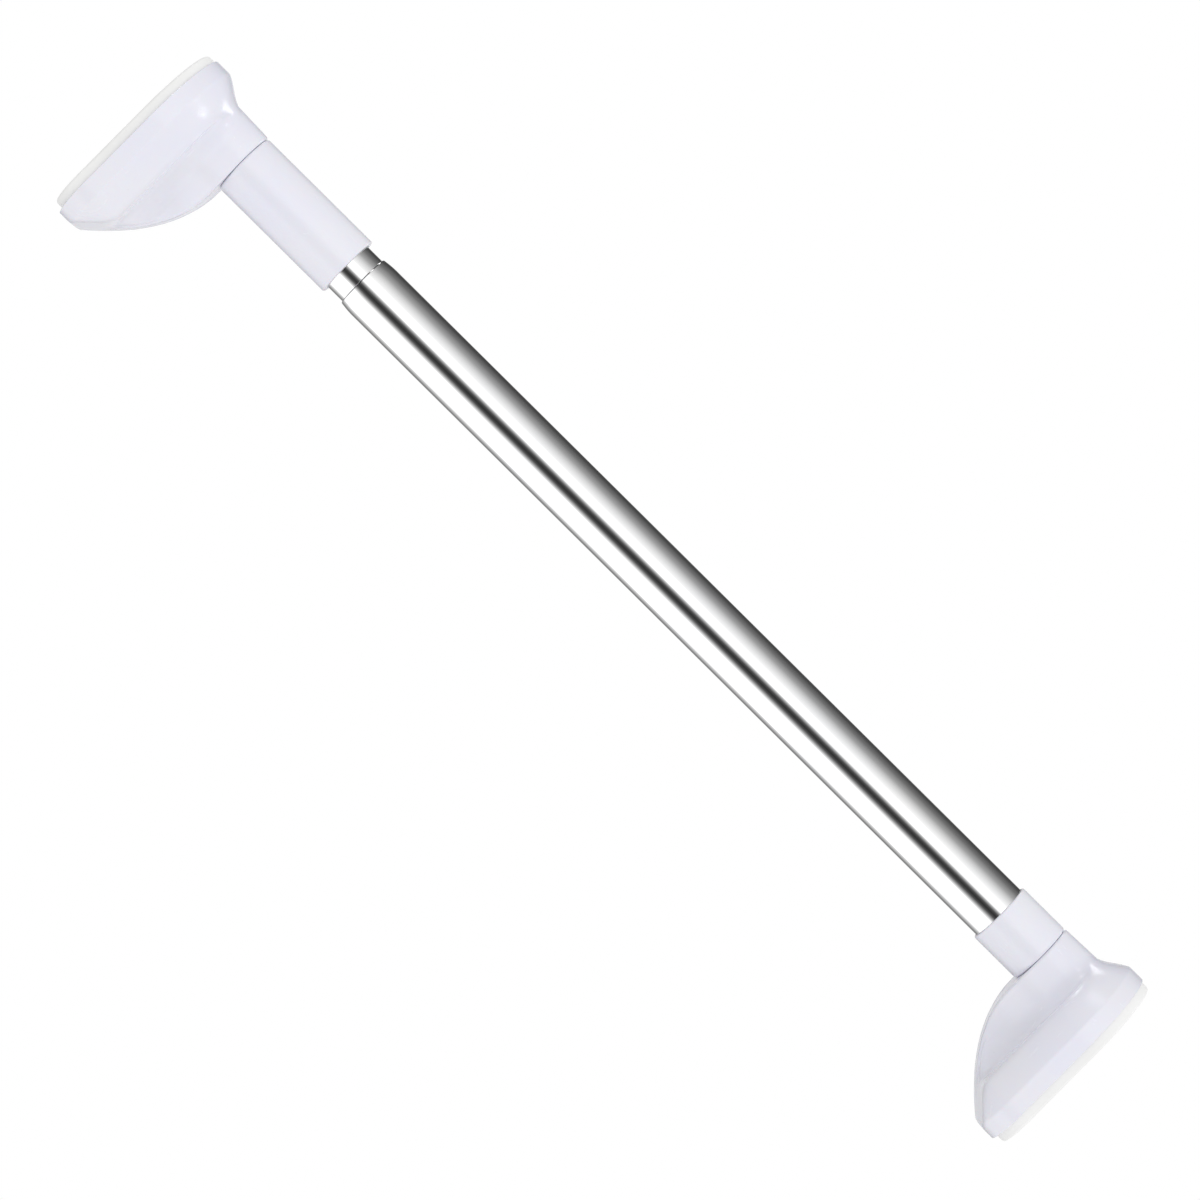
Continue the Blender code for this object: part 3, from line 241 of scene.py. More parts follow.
def mesh_from(name, vertices, faces):
    """Clean mesh with outward normals, smooth shading and crisp corners."""
    mesh = bpy.data.meshes.new(name)
    mesh.from_pydata([tuple(v) for v in vertices], [], faces)
    work = bmesh.new()
    work.from_mesh(mesh)
    bmesh.ops.recalc_face_normals(work, faces=work.faces)
    if work.calc_volume(signed=True) < 0:
        bmesh.ops.reverse_faces(work, faces=work.faces)
    work.to_mesh(mesh)
    work.free()
    mesh.polygons.foreach_set("use_smooth", [True] * len(mesh.polygons))
    mesh.set_sharp_from_angle(angle=SHARP_ANGLE)
    return mesh


def add_piece(name, vertices, faces, material, node, body):
    """Piece in world place that stands for one CAD node."""
    piece = bpy.data.objects.new(name, mesh_from(name, vertices, faces))
    bpy.context.scene.collection.objects.link(piece)
    piece.data.materials.append(material)
    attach(piece, body)
    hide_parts(node)


def loft(rings, closed=False):
    """Skin over rings of equal length; open ends get a flat cap."""
    count = len(rings[0])
    vertices = [point for ring in rings for point in ring]
    faces = []
    pairs = len(rings) if closed else len(rings) - 1
    for index in range(pairs):
        low = index * count
        high = (index + 1) % len(rings) * count
        for step in range(count):
            after = (step + 1) % count
            faces.append((low + step, low + after, high + after, high + step))
    if not closed:
        faces.append(tuple(range(count)))
        faces.append(tuple(range((len(rings) - 1) * count, len(rings) * count)))
    return vertices, faces


def circle(x, radius):
    """Ring of points about the bar's axis."""
    ring = []
    for step in range(ROUND):
        angle = 2.0 * math.pi * step / ROUND
        ring.append(Vector((x, radius * math.cos(angle), radius * math.sin(angle))))
    return ring


def hexagon(x, half_flats):
    """Ring of points on a hexagonal outline."""
    ring = []
    for step in range(ROUND):
        angle = 2.0 * math.pi * step / ROUND
        fold = math.fmod(angle, math.pi / 3.0) - math.pi / 6.0
        radius = half_flats / math.cos(fold)
        ring.append(Vector((x, radius * math.cos(angle), radius * math.sin(angle))))
    return ring


def arc_profile(centre, radius, start, end):
    """(x, r) points along an arc; angles in degrees, 0 towards +X and 90 outwards."""
    points = []
    for step in range(ARC_STEPS + 1):
        angle = math.radians(start + (end - start) * step / ARC_STEPS)
        points.append((centre[0] + radius * math.cos(angle), centre[1] + radius * math.sin(angle)))
    return points


# ---------------------------------------------------------------- foot surfaces

def soft_min(first, second):
    """Smaller of two heights with a rounded meeting."""
    share = max(BLEND - abs(first - second), 0.0) / BLEND
    return min(first, second) - share * share * BLEND / 4.0


def spine_height(z):
    """Height of the keel's spine: level under the neck, then a falling parabola."""
    if z >= SPINE_START:
        return FOOT_DEPTH
    run = (SPINE_START - z) / (SPINE_START - PLAN_BOTTOM)
    return FOOT_DEPTH - SPINE_DROP * run * run


def spine_edge_drop(z):
    """Rounding of the spine's edges, which fades out at the tip of the lobe."""
    share = (spine_height(z) - SPINE_FADE_LOW) / SPINE_FADE_SPAN
    share = min(max(share, 0.0), 1.0)
    return SPINE_EDGE * share * share * (3.0 - 2.0 * share)


def spine_edge_height(z, share=1.0):
    """Height on the spine's rounded edge, from its crest (0) down to the side wall (1)."""
    return spine_height(z) - share * spine_edge_drop(z)


def keel_half_width(z):
    """Half-width of the keel: the neck's own width, waisting quickly down the lobe."""
    run = max(KEEL_WAIST - z, 0.0) / KEEL_TAPER
    return KEEL_END_HALF_WIDTH + (NECK_ROOT_RADIUS - KEEL_END_HALF_WIDTH) * math.exp(-run * run)


def plan_outline(inset):
    """Foot outline as (y, z), counter-clockwise from the right end of the arch."""
    radius = PLAN_RADIUS - inset
    corner = max(PLAN_CORNER - inset, LEAST_CORNER)
    bottom = PLAN_BOTTOM + inset
    side_end = bottom + corner
    points = []
    for step in range(ARCH_STEPS + 1):
        angle = math.pi * step / ARCH_STEPS
        points.append((radius * math.cos(angle), PLAN_CENTRE + radius * math.sin(angle)))
    left = []
    for step in range(1, SIDE_STEPS + 1):
        left.append((-radius, PLAN_CENTRE + (side_end - PLAN_CENTRE) * step / SIDE_STEPS))
    corner_points = []
    for step in range(1, CORNER_STEPS + 1):
        angle = math.pi + 0.5 * math.pi * step / CORNER_STEPS
        y = corner - radius + corner * math.cos(angle)
        corner_points.append((y, side_end + corner * math.sin(angle)))
    points += left + corner_points
    half_flat = radius - corner
    for step in range(1, BOTTOM_STEPS):
        points.append((-half_flat + 2.0 * half_flat * step / BOTTOM_STEPS, bottom))
    points += [(-y, z) for y, z in reversed(left + corner_points)]
    return points


def keel_outline(inset, tip_inset=None):
    """Outline of the neck and keel, with its points paired to those of plan_outline."""
    tip_inset = inset if tip_inset is None else tip_inset
    points = []
    for step in range(ARCH_STEPS + 1):
        angle = math.pi * step / ARCH_STEPS
        radius = NECK_ROOT_RADIUS - inset
        points.append((radius * math.cos(angle), radius * math.sin(angle)))
    left = []
    for step in range(1, SIDE_STEPS + 1):
        share = step / SIDE_STEPS
        z = KEEL_END * share
        trim = inset + (tip_inset - inset) * share
        left.append((-(keel_half_width(z) - trim), z))
    points += left
    count = 2 * CORNER_STEPS + BOTTOM_STEPS - 1
    for step in range(1, count + 1):
        angle = math.pi + math.pi * step / (count + 1)
        across = KEEL_END_HALF_WIDTH - tip_inset
        along = KEEL_NOSE - tip_inset
        points.append((across * math.cos(angle), KEEL_END + along * math.sin(angle)))
    points += [(-y, z) for y, z in reversed(left)]
    return points


def hub_outline(radius):
    """Circle about the bar's axis with points paired to those of keel_outline."""
    points = []
    lower = len(plan_outline(0.0)) - ARCH_STEPS
    for step in range(ARCH_STEPS):
        angle = math.pi * step / ARCH_STEPS
        points.append((radius * math.cos(angle), radius * math.sin(angle)))
    for step in range(lower):
        angle = math.pi + math.pi * step / lower
        points.append((radius * math.cos(angle), radius * math.sin(angle)))
    return points


def between(first, second, share):
    """Points part way between two outlines."""
    mixed = []
    for (y0, z0), (y1, z1) in zip(first, second):
        mixed.append((y0 + (y1 - y0) * share, z0 + (z1 - z0) * share))
    return mixed


def lifted(outline, height):
    """Ring of 3D points over an outline; height is a number or a function of z."""
    ring = []
    for y, z in outline:
        x = height(z) if callable(height) else height
        ring.append(Vector((x, y, z)))
    return ring


def flank_height(run, gap):
    """Height of the flank a run away from the keel, where the rim is a gap away from it."""
    fall = max(1.0 - (gap - run) / FLANGE_RUN, 0.0) ** FLANGE_POWER
    radius = min(VALLEY_RADIUS, VALLEY_SHARE * gap)
    inside = max(radius - run, 0.0)
    fillet = radius - math.sqrt(radius * radius - inside * inside)
    return FLANGE_FLOOR - (FLANGE_FLOOR - FLANGE_RIM) * fall + fillet


def flank_ring(root, rim, share, drop, ceiling):
    """Ring across the flank, from the keel's foot (0) to the rim (1), never above the ceiling."""
    ring = []
    for (y0, z0), (y1, z1) in zip(root, rim):
        gap = math.hypot(y1 - y0, z1 - z0)
        y = y0 + (y1 - y0) * share
        z = z0 + (z1 - z0) * share
        x = soft_min(flank_height(share * gap, gap) - drop, ceiling(y, z))
        ring.append(Vector((x, y, z)))
    return ring


def wall_ring(top, foot, share, height):
    """Ring down the keel's side wall, from its shoulder (0) to the flank's fillet (1)."""
    ring = []
    for (y0, z0), low in zip(top, foot):
        high = height(z0)
        y = y0 + (low.y - y0) * share
        z = z0 + (low.z - z0) * share
        ring.append(Vector((high + (low.x - high) * share, y, z)))
    return ring


def crown(y):
    """Fall of the lobe's end to both sides of the keel."""
    return CROWN_SLOPE * (math.hypot(y, CROWN_ROUND) - CROWN_ROUND)


def spine_side(y, z):
    """Top of the keel's side wall, and the crowned end of the flange below the keel."""
    return spine_edge_height(z) - crown(y)


def outer_rings():
    """Rings of the visible surface, from the counterbore's edge to the bottom of the rim."""
    hub = hub_outline(COUNTERBORE_RADIUS)
    crest = keel_outline(WALL_DRAFT + SPINE_EDGE, TIP_DRAFT + SPINE_EDGE)
    shoulder = keel_outline(WALL_DRAFT, TIP_DRAFT)
    root = keel_outline(0.0)
    rim = plan_outline(RIM_EDGE_INSET)
    rings = []
    for step in range(FACE_STEPS + 1):
        rings.append(lifted(between(hub, crest, step / FACE_STEPS), spine_height))
    for step in range(1, EDGE_STEPS + 1):
        angle = 0.5 * math.pi * step / EDGE_STEPS
        down = 1.0 - math.cos(angle)
        outline = between(crest, shoulder, math.sin(angle))
        rings.append(lifted(outline, lambda z, down=down: spine_edge_height(z, down)))
    foot = flank_ring(root, rim, 0.0, 0.0, spine_side)
    for step in range(1, WALL_STEPS + 1):
        rings.append(wall_ring(shoulder, foot, step / WALL_STEPS, spine_edge_height))
    for step in range(1, FLANK_STEPS + 1):
        share = (step / FLANK_STEPS) ** FLANK_CROWDING
        rings.append(flank_ring(root, rim, share, 0.0, spine_side))
    skirt = plan_outline(0.0)
    slope = math.atan(FLANGE_POWER * (FLANGE_FLOOR - FLANGE_RIM) / FLANGE_RUN)
    edge_radius = RIM_EDGE_INSET / (1.0 - math.sin(slope))
    for step in range(1, EDGE_STEPS + 1):
        angle = slope + (0.5 * math.pi - slope) * step / EDGE_STEPS
        out = (math.sin(angle) - math.sin(slope)) / (1.0 - math.sin(slope))
        down = edge_radius * (math.cos(slope) - math.cos(angle))
        ring = []
        for y, z in between(rim, skirt, out):
            ring.append(Vector((soft_min(FLANGE_RIM, spine_side(y, z)) - down, y, z)))
        rings.append(ring)
    rings.append(lifted(skirt, RIM_BASE + RIM_LAND))
    rings.append(lifted(skirt, RIM_BASE + RIM_FOOT_ROUND))
    rings.append(lifted(plan_outline(RIM_FOOT_ROUND), RIM_BASE))
    return rings


def cavity_rings():
    """Rings of the hollow underside, from the rim's inner edge to the web round the neck bore."""
    def roof(z):
        return min(WEB_INSIDE, spine_height(z - CAVITY_SHIFT) - CAVITY_ROOF)

    def crowned_roof(y, z):
        return max(roof(z) - crown(y), CAVITY_LOW)

    inside = plan_outline(SHELL_WALL)
    root = keel_outline(CAVITY_WALL)
    crest = keel_outline(CAVITY_WALL + WALL_DRAFT, CAVITY_WALL + CAVITY_TIP_DRAFT)
    hub = hub_outline(NECK_BORE)
    rings = [lifted(inside, RIM_BASE)]
    for share in CAVITY_FLANK_SHARES:
        rings.append(flank_ring(root, inside, share, CAVITY_ROOF, crowned_roof))
    foot = flank_ring(root, inside, 0.0, CAVITY_ROOF, crowned_roof)
    for share in CAVITY_WALL_SHARES:
        rings.append(wall_ring(crest, foot, share, roof))
    for share in CAVITY_ROOF_SHARES:
        rings.append(lifted(between(hub, crest, share), roof))
    return rings


def placed(points, mirrored):
    """Foot coordinates, measured from the pad face, to world."""
    if not mirrored:
        return points
    return [Vector((BAR_LENGTH - point.x, point.y, point.z)) for point in points]


def build_shell(side, material, body):
    """Moulded shoe of one foot."""
    rings = outer_rings() + cavity_rings()
    rings.append(lifted(hub_outline(NECK_BORE), COUNTERBORE_FLOOR))
    rings.append(lifted(hub_outline(COUNTERBORE_RADIUS), COUNTERBORE_FLOOR))
    vertices, faces = loft(rings, True)
    vertices = placed(vertices, side == "jack")
    node = f"{side}_foot_shell"
    add_piece(f"{node}_moulding", vertices, faces, material, node, body)


def pad_ring(inset, x):
    """Ring of the pad, which sits a little high in the foot's outline."""
    return [Vector((x, y, z + PAD_LIFT)) for y, z in plan_outline(inset)]


def build_pad(side, material, body):
    """Rubber pad: rounded rim, two deep ring channels and fine ribs between them."""
    rings = [pad_ring(PAD_INSET, RIM_BASE - PAD_BACK_GAP)]
    for step in range(PAD_EDGE_STEPS + 1):
        angle = 0.5 * math.pi * step / PAD_EDGE_STEPS
        inset = PAD_INSET + PAD_CORNER * (1.0 - math.cos(angle))
        rings.append(pad_ring(inset, PAD_CORNER * (1.0 - math.sin(angle))))
    inset = PAD_INSET + PAD_CORNER + PAD_BORDER
    for stop in (*PAD_CHANNELS, PAD_CHANNELS[-1] + PAD_CHANNEL_WIDTH + PAD_RIB_FIELD):
        while inset + PAD_RIB_PITCH <= stop - PAD_RIB_MARGIN:
            for along, depth in PAD_RIB:
                rings.append(pad_ring(inset + along * PAD_RIB_PITCH, depth * PAD_RIB_DEPTH))
            inset += PAD_RIB_PITCH
        if stop in PAD_CHANNELS:
            flank = PAD_CHANNEL_DEPTH / 2.0
            rings.append(pad_ring(stop, 0.0))
            rings.append(pad_ring(stop + flank, PAD_CHANNEL_DEPTH))
            rings.append(pad_ring(stop + PAD_CHANNEL_WIDTH - flank, PAD_CHANNEL_DEPTH))
            rings.append(pad_ring(stop + PAD_CHANNEL_WIDTH, 0.0))
            inset = stop + PAD_CHANNEL_WIDTH + PAD_CHANNEL_MARGIN
    vertices, faces = loft(rings)
    vertices = placed(vertices, side == "jack")
    node = f"{side}_foot_rubber_pad"
    add_piece(f"{node}_ribbed", vertices, faces, material, node, body)


# ---------------------------------------------------------------- tubes, collar and sleeve

def turned_piece(name, profile, material, node, body):
    """Piece turned about the bar's axis from a closed (x, r) profile."""
    vertices, faces = loft([circle(x, radius) for x, radius in profile], True)
    add_piece(name, vertices, faces, material, node, body)


def build_outer_tube(material):
    """Thick tube: its mouth is swaged in slowly, then rolled over to guide the thin one."""
    bore = OUTER_RADIUS - TUBE_WALL
    lip = INNER_RADIUS + FIT_GAP
    shoulder = OUTER_RADIUS - SWAGE_DROP
    bend = shoulder - lip - LIP_MARGIN
    swage = TUBE_MOUTH - SWAGE_LENGTH
    profile = [(OUTER_TUBE_START + OUTER_TUBE_EDGE, OUTER_RADIUS), (swage, OUTER_RADIUS)]
    for step in range(1, MOUTH_STEPS + 1):
        share = step / MOUTH_STEPS
        x = swage + (SWAGE_LENGTH - LIP_REACH) * share
        profile.append((x, OUTER_RADIUS - SWAGE_DROP * share * share))
    for step in range(MOUTH_STEPS + 1):
        angle = math.radians(LIP_FIRST_ANGLE - LIP_SWEEP * step / MOUTH_STEPS)
        x = TUBE_MOUTH - LIP_REACH * (1.0 - math.cos(angle))
        profile.append((x, shoulder - bend * (1.0 - math.sin(angle))))
    profile += [(TUBE_MOUTH - LIP_BREAK, lip + LIP_BREAK), (TUBE_MOUTH - LIP_FACE, lip)]
    profile += [(TUBE_MOUTH - LIP_LAND, lip), (swage, bore), (OUTER_TUBE_START, bore)]
    profile.append((OUTER_TUBE_START, OUTER_RADIUS - OUTER_TUBE_EDGE))
    turned_piece("outer_tube_rolled", profile, material, "outer_tube", "outer_tube_body")


def build_inner_tube(material):
    """Thin tube with softened ends."""
    bore = INNER_RADIUS - TUBE_WALL
    profile = [
        (INNER_TUBE_START, INNER_RADIUS - INNER_TUBE_EDGE),
        (INNER_TUBE_START + INNER_TUBE_EDGE, INNER_RADIUS),
        (INNER_TUBE_END - INNER_TUBE_EDGE, INNER_RADIUS),
        (INNER_TUBE_END, INNER_RADIUS - INNER_TUBE_EDGE),
        (INNER_TUBE_END, bore),
        (INNER_TUBE_START, bore),
    ]
    turned_piece("inner_tube_drawn", profile, material, "inner_tube", "inner_tube_body")


def band(start, end, radius, first_edge, last_edge):
    """Outer profile of a moulded band with both rims rounded."""
    profile = arc_profile((start + first_edge, radius - first_edge), first_edge, 180.0, 90.0)
    profile += arc_profile((end - last_edge, radius - last_edge), last_edge, 90.0, 0.0)
    return profile


def build_collar(material):
    """Short collar over the end of the thick tube."""
    web = COLLAR_START + COLLAR_WEB
    inside = OUTER_RADIUS + FIT_GAP
    start = COLLAR_START - SEAM_COVER
    profile = band(start, COLLAR_END, COLLAR_RADIUS, FOOT_SIDE_ROUND, TUBE_SIDE_ROUND)
    profile += [(COLLAR_END, inside + BORE_BREAK), (COLLAR_END - BORE_BREAK, inside)]
    profile += [(web, inside), (web, NECK_BORE), (COLLAR_START, NECK_BORE)]
    profile += [(COLLAR_START, SEAM_LAND), (start, SEAM_LAND)]
    body = "outer_tube_body"
    turned_piece("tube_end_collar_moulding", profile, material, "tube_end_collar", body)


def build_sleeve(material):
    """Long grip sleeve with a nut pocket and a swivel spigot."""
    bore = INNER_RADIUS + FIT_GAP
    pocket_floor = NUT_END + FIT_GAP
    web = BAR_LENGTH - WEB_INSIDE
    clip = BAR_LENGTH - CLIP_INSIDE
    tip = SPIGOT_TIP_X
    end = SLEEVE_END + SEAM_COVER
    profile = band(SLEEVE_START, end, SLEEVE_RADIUS, TUBE_SIDE_ROUND, FOOT_SIDE_ROUND)
    profile += [(end, SEAM_LAND), (SLEEVE_END, SEAM_LAND), (SLEEVE_END, SPIGOT_RADIUS)]
    profile += [(web, SPIGOT_RADIUS), (web, SPIGOT_GROOVE), (clip, SPIGOT_GROOVE)]
    profile += [(clip, SPIGOT_RADIUS), (tip - SPIGOT_CHAMFER, SPIGOT_RADIUS)]
    profile += [(tip, SPIGOT_RADIUS - SPIGOT_CHAMFER), (tip, SPIGOT_BORE)]
    profile.append((pocket_floor, SPIGOT_BORE))
    rings = [circle(x, radius) for x, radius in profile]
    rings.append(hexagon(pocket_floor, NUT_POCKET))
    rings.append(hexagon(NUT_START - POCKET_MOUTH, NUT_POCKET))
    rings.append(circle(NUT_START - POCKET_LEAD, bore))
    rings.append(circle(SLEEVE_START + BORE_BREAK, bore))
    rings.append(circle(SLEEVE_START, bore + BORE_BREAK))
    vertices, faces = loft(rings, True)
    add_piece("jack_sleeve_moulding", vertices, faces, material, "jack_sleeve", "sleeve_body")


# ---------------------------------------------------------------- materials

class Nodes:
    """Small helper for building a node tree."""

    def __init__(self, tree):
        self.tree = tree

    def add(self, kind, **settings):
        node = self.tree.nodes.new(kind)
        for key, value in settings.items():
            setattr(node, key, value)
        return node

    def link(self, source, target):
        self.tree.links.new(source, target)

    def feed(self, socket, value):
        """Links another socket in, or sets a number, a direction or an opaque colour."""
        if isinstance(value, bpy.types.NodeSocket):
            self.link(value, socket)
        elif socket.type == "RGBA":
            socket.default_value = (*value, 1.0)
        else:
            socket.default_value = value

    def math(self, operation, *operands):
        node = self.add("ShaderNodeMath", operation=operation)
        for socket, operand in zip(node.inputs, operands):
            self.feed(socket, operand)
        return node.outputs[0]

    def dot(self, first, second):
        node = self.add("ShaderNodeVectorMath", operation="DOT_PRODUCT")
        self.feed(node.inputs[0], first)
        self.feed(node.inputs[1], second)
        return node.outputs["Value"]

    def map_range(self, source, start, end, low, high, curve="LINEAR"):
        node = self.add("ShaderNodeMapRange", interpolation_type=curve)
        node.inputs["From Min"].default_value = start
        node.inputs["From Max"].default_value = end
        node.inputs["To Min"].default_value = low
        node.inputs["To Max"].default_value = high
        self.link(source, node.inputs["Value"])
        return node.outputs["Result"]

    def ramp(self, source, stops):
        """Colour ramp; stops are (position, grey or colour)."""
        node = self.add("ShaderNodeValToRGB")
        elements = node.color_ramp.elements
        while len(elements) < len(stops):
            elements.new(0.5)
        for element, (position, value) in zip(elements, stops):
            element.position = position
            colour = value if isinstance(value, tuple) else (value, value, value)
            element.color = (*colour, 1.0)
        self.link(source, node.inputs["Fac"])
        return node.outputs["Color"]

    def background(self, colour):
        node = self.add("ShaderNodeBackground")
        self.feed(node.inputs["Color"], colour)
        return node.outputs[0]

    def mix_shaders(self, factor, first, second):
        node = self.add("ShaderNodeMixShader")
        for socket, value in zip(node.inputs, (factor, first, second)):
            self.link(value, socket)
        return node.outputs[0]


class Graph(Nodes):
    """Node tree of one material."""

    def __init__(self, name, colour, roughness, metallic=0.0):
        self.material = bpy.data.materials.new(name)
        self.material.use_nodes = True
        super().__init__(self.material.node_tree)
        self.shader = self.tree.nodes["Principled BSDF"]
        self.shader.inputs["Base Color"].default_value = (*colour, 1.0)
        self.shader.inputs["Roughness"].default_value = roughness
        self.shader.inputs["Metallic"].default_value = metallic
        self.place = self.add("ShaderNodeTexCoord").outputs["Object"]
        self.bump = None

    def stretched(self, scale):
        """Object coordinates scaled on each axis."""
        node = self.add("ShaderNodeMapping")
        node.inputs["Scale"].default_value = scale
        self.link(self.place, node.inputs["Vector"])
        return node.outputs["Vector"]

    def noise(self, scale, detail=4.0, roughness=0.55, vector=None):
        node = self.add("ShaderNodeTexNoise")
        node.inputs["Scale"].default_value = scale
        node.inputs["Detail"].default_value = detail
        node.inputs["Roughness"].default_value = roughness
        self.link(vector or self.place, node.inputs["Vector"])
        return node.outputs["Fac"]

    def drift(self, source, low, high):
        """Colour that drifts with a noise between two tones."""
        return self.ramp(source, ((NOISE_LOW, low), (NOISE_HIGH, high)))

    def remap(self, source, low, high):
        """Number that follows a noise between two values."""
        return self.map_range(source, NOISE_LOW, NOISE_HIGH, low, high)

    def mix(self, factor, first, second, blend="MIX"):
        node = self.add("ShaderNodeMix", data_type="RGBA", blend_type=blend)
        for index, value in ((0, factor), (6, first), (7, second)):
            self.feed(node.inputs[index], value)
        return node.outputs[2]

    def colour(self, source):
        self.link(source, self.shader.inputs["Base Color"])

    def rough(self, source):
        self.link(source, self.shader.inputs["Roughness"])

    def raise_by(self, source, distance, strength):
        """Adds a bump on top of any earlier one."""
        node = self.add("ShaderNodeBump")
        node.inputs["Distance"].default_value = distance
        node.inputs["Strength"].default_value = strength
        self.link(source, node.inputs["Height"])
        if self.bump:
            self.link(self.bump, node.inputs["Normal"])
        self.bump = node.outputs["Normal"]
        self.link(self.bump, self.shader.inputs["Normal"])


def moulded_abs(name, tint):
    """Glossy white ABS: fine mould grain, slow colour drift, faint rub marks."""
    graph = Graph(name, tint, 0.22)
    warm = tuple(value * factor for value, factor in zip(tint, (1.015, 1.010, 0.985)))
    cool = tuple(value * factor for value, factor in zip(tint, (0.985, 0.988, 1.012)))
    base = graph.drift(graph.noise(28.0, 3.0), cool, warm)
    specks = graph.ramp(graph.noise(900.0, 2.0), ((0.74, 1.0), (0.80, 0.93)))
    graph.colour(graph.mix(1.0, base, specks, "MULTIPLY"))
    rubs = graph.noise(60.0, 6.0, 0.7, graph.stretched((1.0, 7.0, 1.0)))
    graph.rough(graph.remap(rubs, 0.17, 0.29))
    graph.raise_by(graph.noise(2600.0, 2.0), 0.02 * MM, 0.25)
    graph.raise_by(graph.noise(70.0, 2.0), 0.2 * MM, 0.06)
    graph.shader.inputs["IOR"].default_value = 1.53
    graph.shader.inputs["Subsurface Weight"].default_value = 0.06
    graph.shader.inputs["Subsurface Scale"].default_value = 2.0 * MM
    return graph.material


def chromed_tube(name):
    """Bright chrome: fine lengthwise draw lines, faint haze patches and hairline scratches."""
    graph = Graph(name, (0.90, 0.90, 0.91), 0.06, 1.0)
    base = graph.drift(graph.noise(14.0, 3.0), (0.895, 0.90, 0.915), (0.925, 0.922, 0.918))
    lines = graph.noise(420.0, 4.0, 0.6, graph.stretched((0.03, 1.0, 1.0)))
    hair = graph.ramp(lines, ((0.66, 0.0), (0.74, 1.0)))
    graph.colour(graph.mix(graph.math("MULTIPLY", hair, 0.10), base, (0.72, 0.72, 0.74)))
    haze = graph.noise(35.0, 5.0, 0.6, graph.stretched((0.35, 1.0, 1.0)))
    scratched = graph.math("MULTIPLY", hair, 0.10)
    graph.rough(graph.math("ADD", graph.remap(haze, 0.045, 0.085), scratched))
    graph.raise_by(lines, 0.01 * MM, 0.05)
    graph.raise_by(graph.noise(18.0, 2.0), 0.2 * MM, 0.04)
    return graph.material


def soft_rubber(name):
    """Matte off-white rubber with a fine grain and faint dust."""
    graph = Graph(name, (0.86, 0.86, 0.84), 0.72)
    drift = graph.noise(40.0, 4.0)
    base = graph.drift(drift, (0.855, 0.855, 0.845), (0.88, 0.88, 0.875))
    dust = graph.ramp(graph.noise(1500.0, 3.0), ((0.70, 1.0), (0.80, 0.94)))
    graph.colour(graph.mix(1.0, base, dust, "MULTIPLY"))
    graph.rough(graph.remap(drift, 0.62, 0.80))
    graph.raise_by(graph.noise(2200.0, 3.0), 0.05 * MM, 0.5)
    graph.shader.inputs["Sheen Weight"].default_value = 0.08
    return graph.material


def dark_nylon(name):
    """Satin black glass-filled nylon with pale fibre flecks."""
    graph = Graph(name, (0.035, 0.035, 0.04), 0.45)
    flecks = graph.noise(1400.0, 2.0, 0.5, graph.stretched((0.25, 1.0, 1.0)))
    graph.colour(graph.ramp(flecks, ((0.35, (0.030, 0.030, 0.034)), (0.75, (0.060, 0.060, 0.066)))))
    graph.rough(graph.remap(graph.noise(120.0), 0.36, 0.56))
    graph.raise_by(flecks, 0.04 * MM, 0.3)
    return graph.material


def natural_acetal(name):
    """Milky acetal with a waxy drift of tone."""
    graph = Graph(name, (0.82, 0.81, 0.76), 0.35)
    graph.colour(graph.drift(graph.noise(90.0), (0.80, 0.79, 0.735), (0.845, 0.835, 0.79)))
    graph.rough(graph.remap(graph.noise(300.0), 0.28, 0.42))
    graph.raise_by(graph.noise(1800.0, 2.0), 0.02 * MM, 0.3)
    graph.shader.inputs["Subsurface Weight"].default_value = 0.15
    graph.shader.inputs["Subsurface Scale"].default_value = 2.0 * MM
    return graph.material


def worked_metal(name, dark, light, roughness, lines):
    """Plated or turned metal with machining lines and a mottled plate."""
    graph = Graph(name, light, roughness, 1.0)
    graph.colour(graph.drift(graph.noise(260.0, 5.0, 0.65), dark, light))
    turning = graph.noise(900.0, 3.0, 0.5, graph.stretched(lines))
    graph.rough(graph.remap(turning, roughness - 0.07, roughness + 0.10))
    graph.raise_by(turning, 0.03 * MM, 0.25)
    return graph.material


# ---------------------------------------------------------------- studio

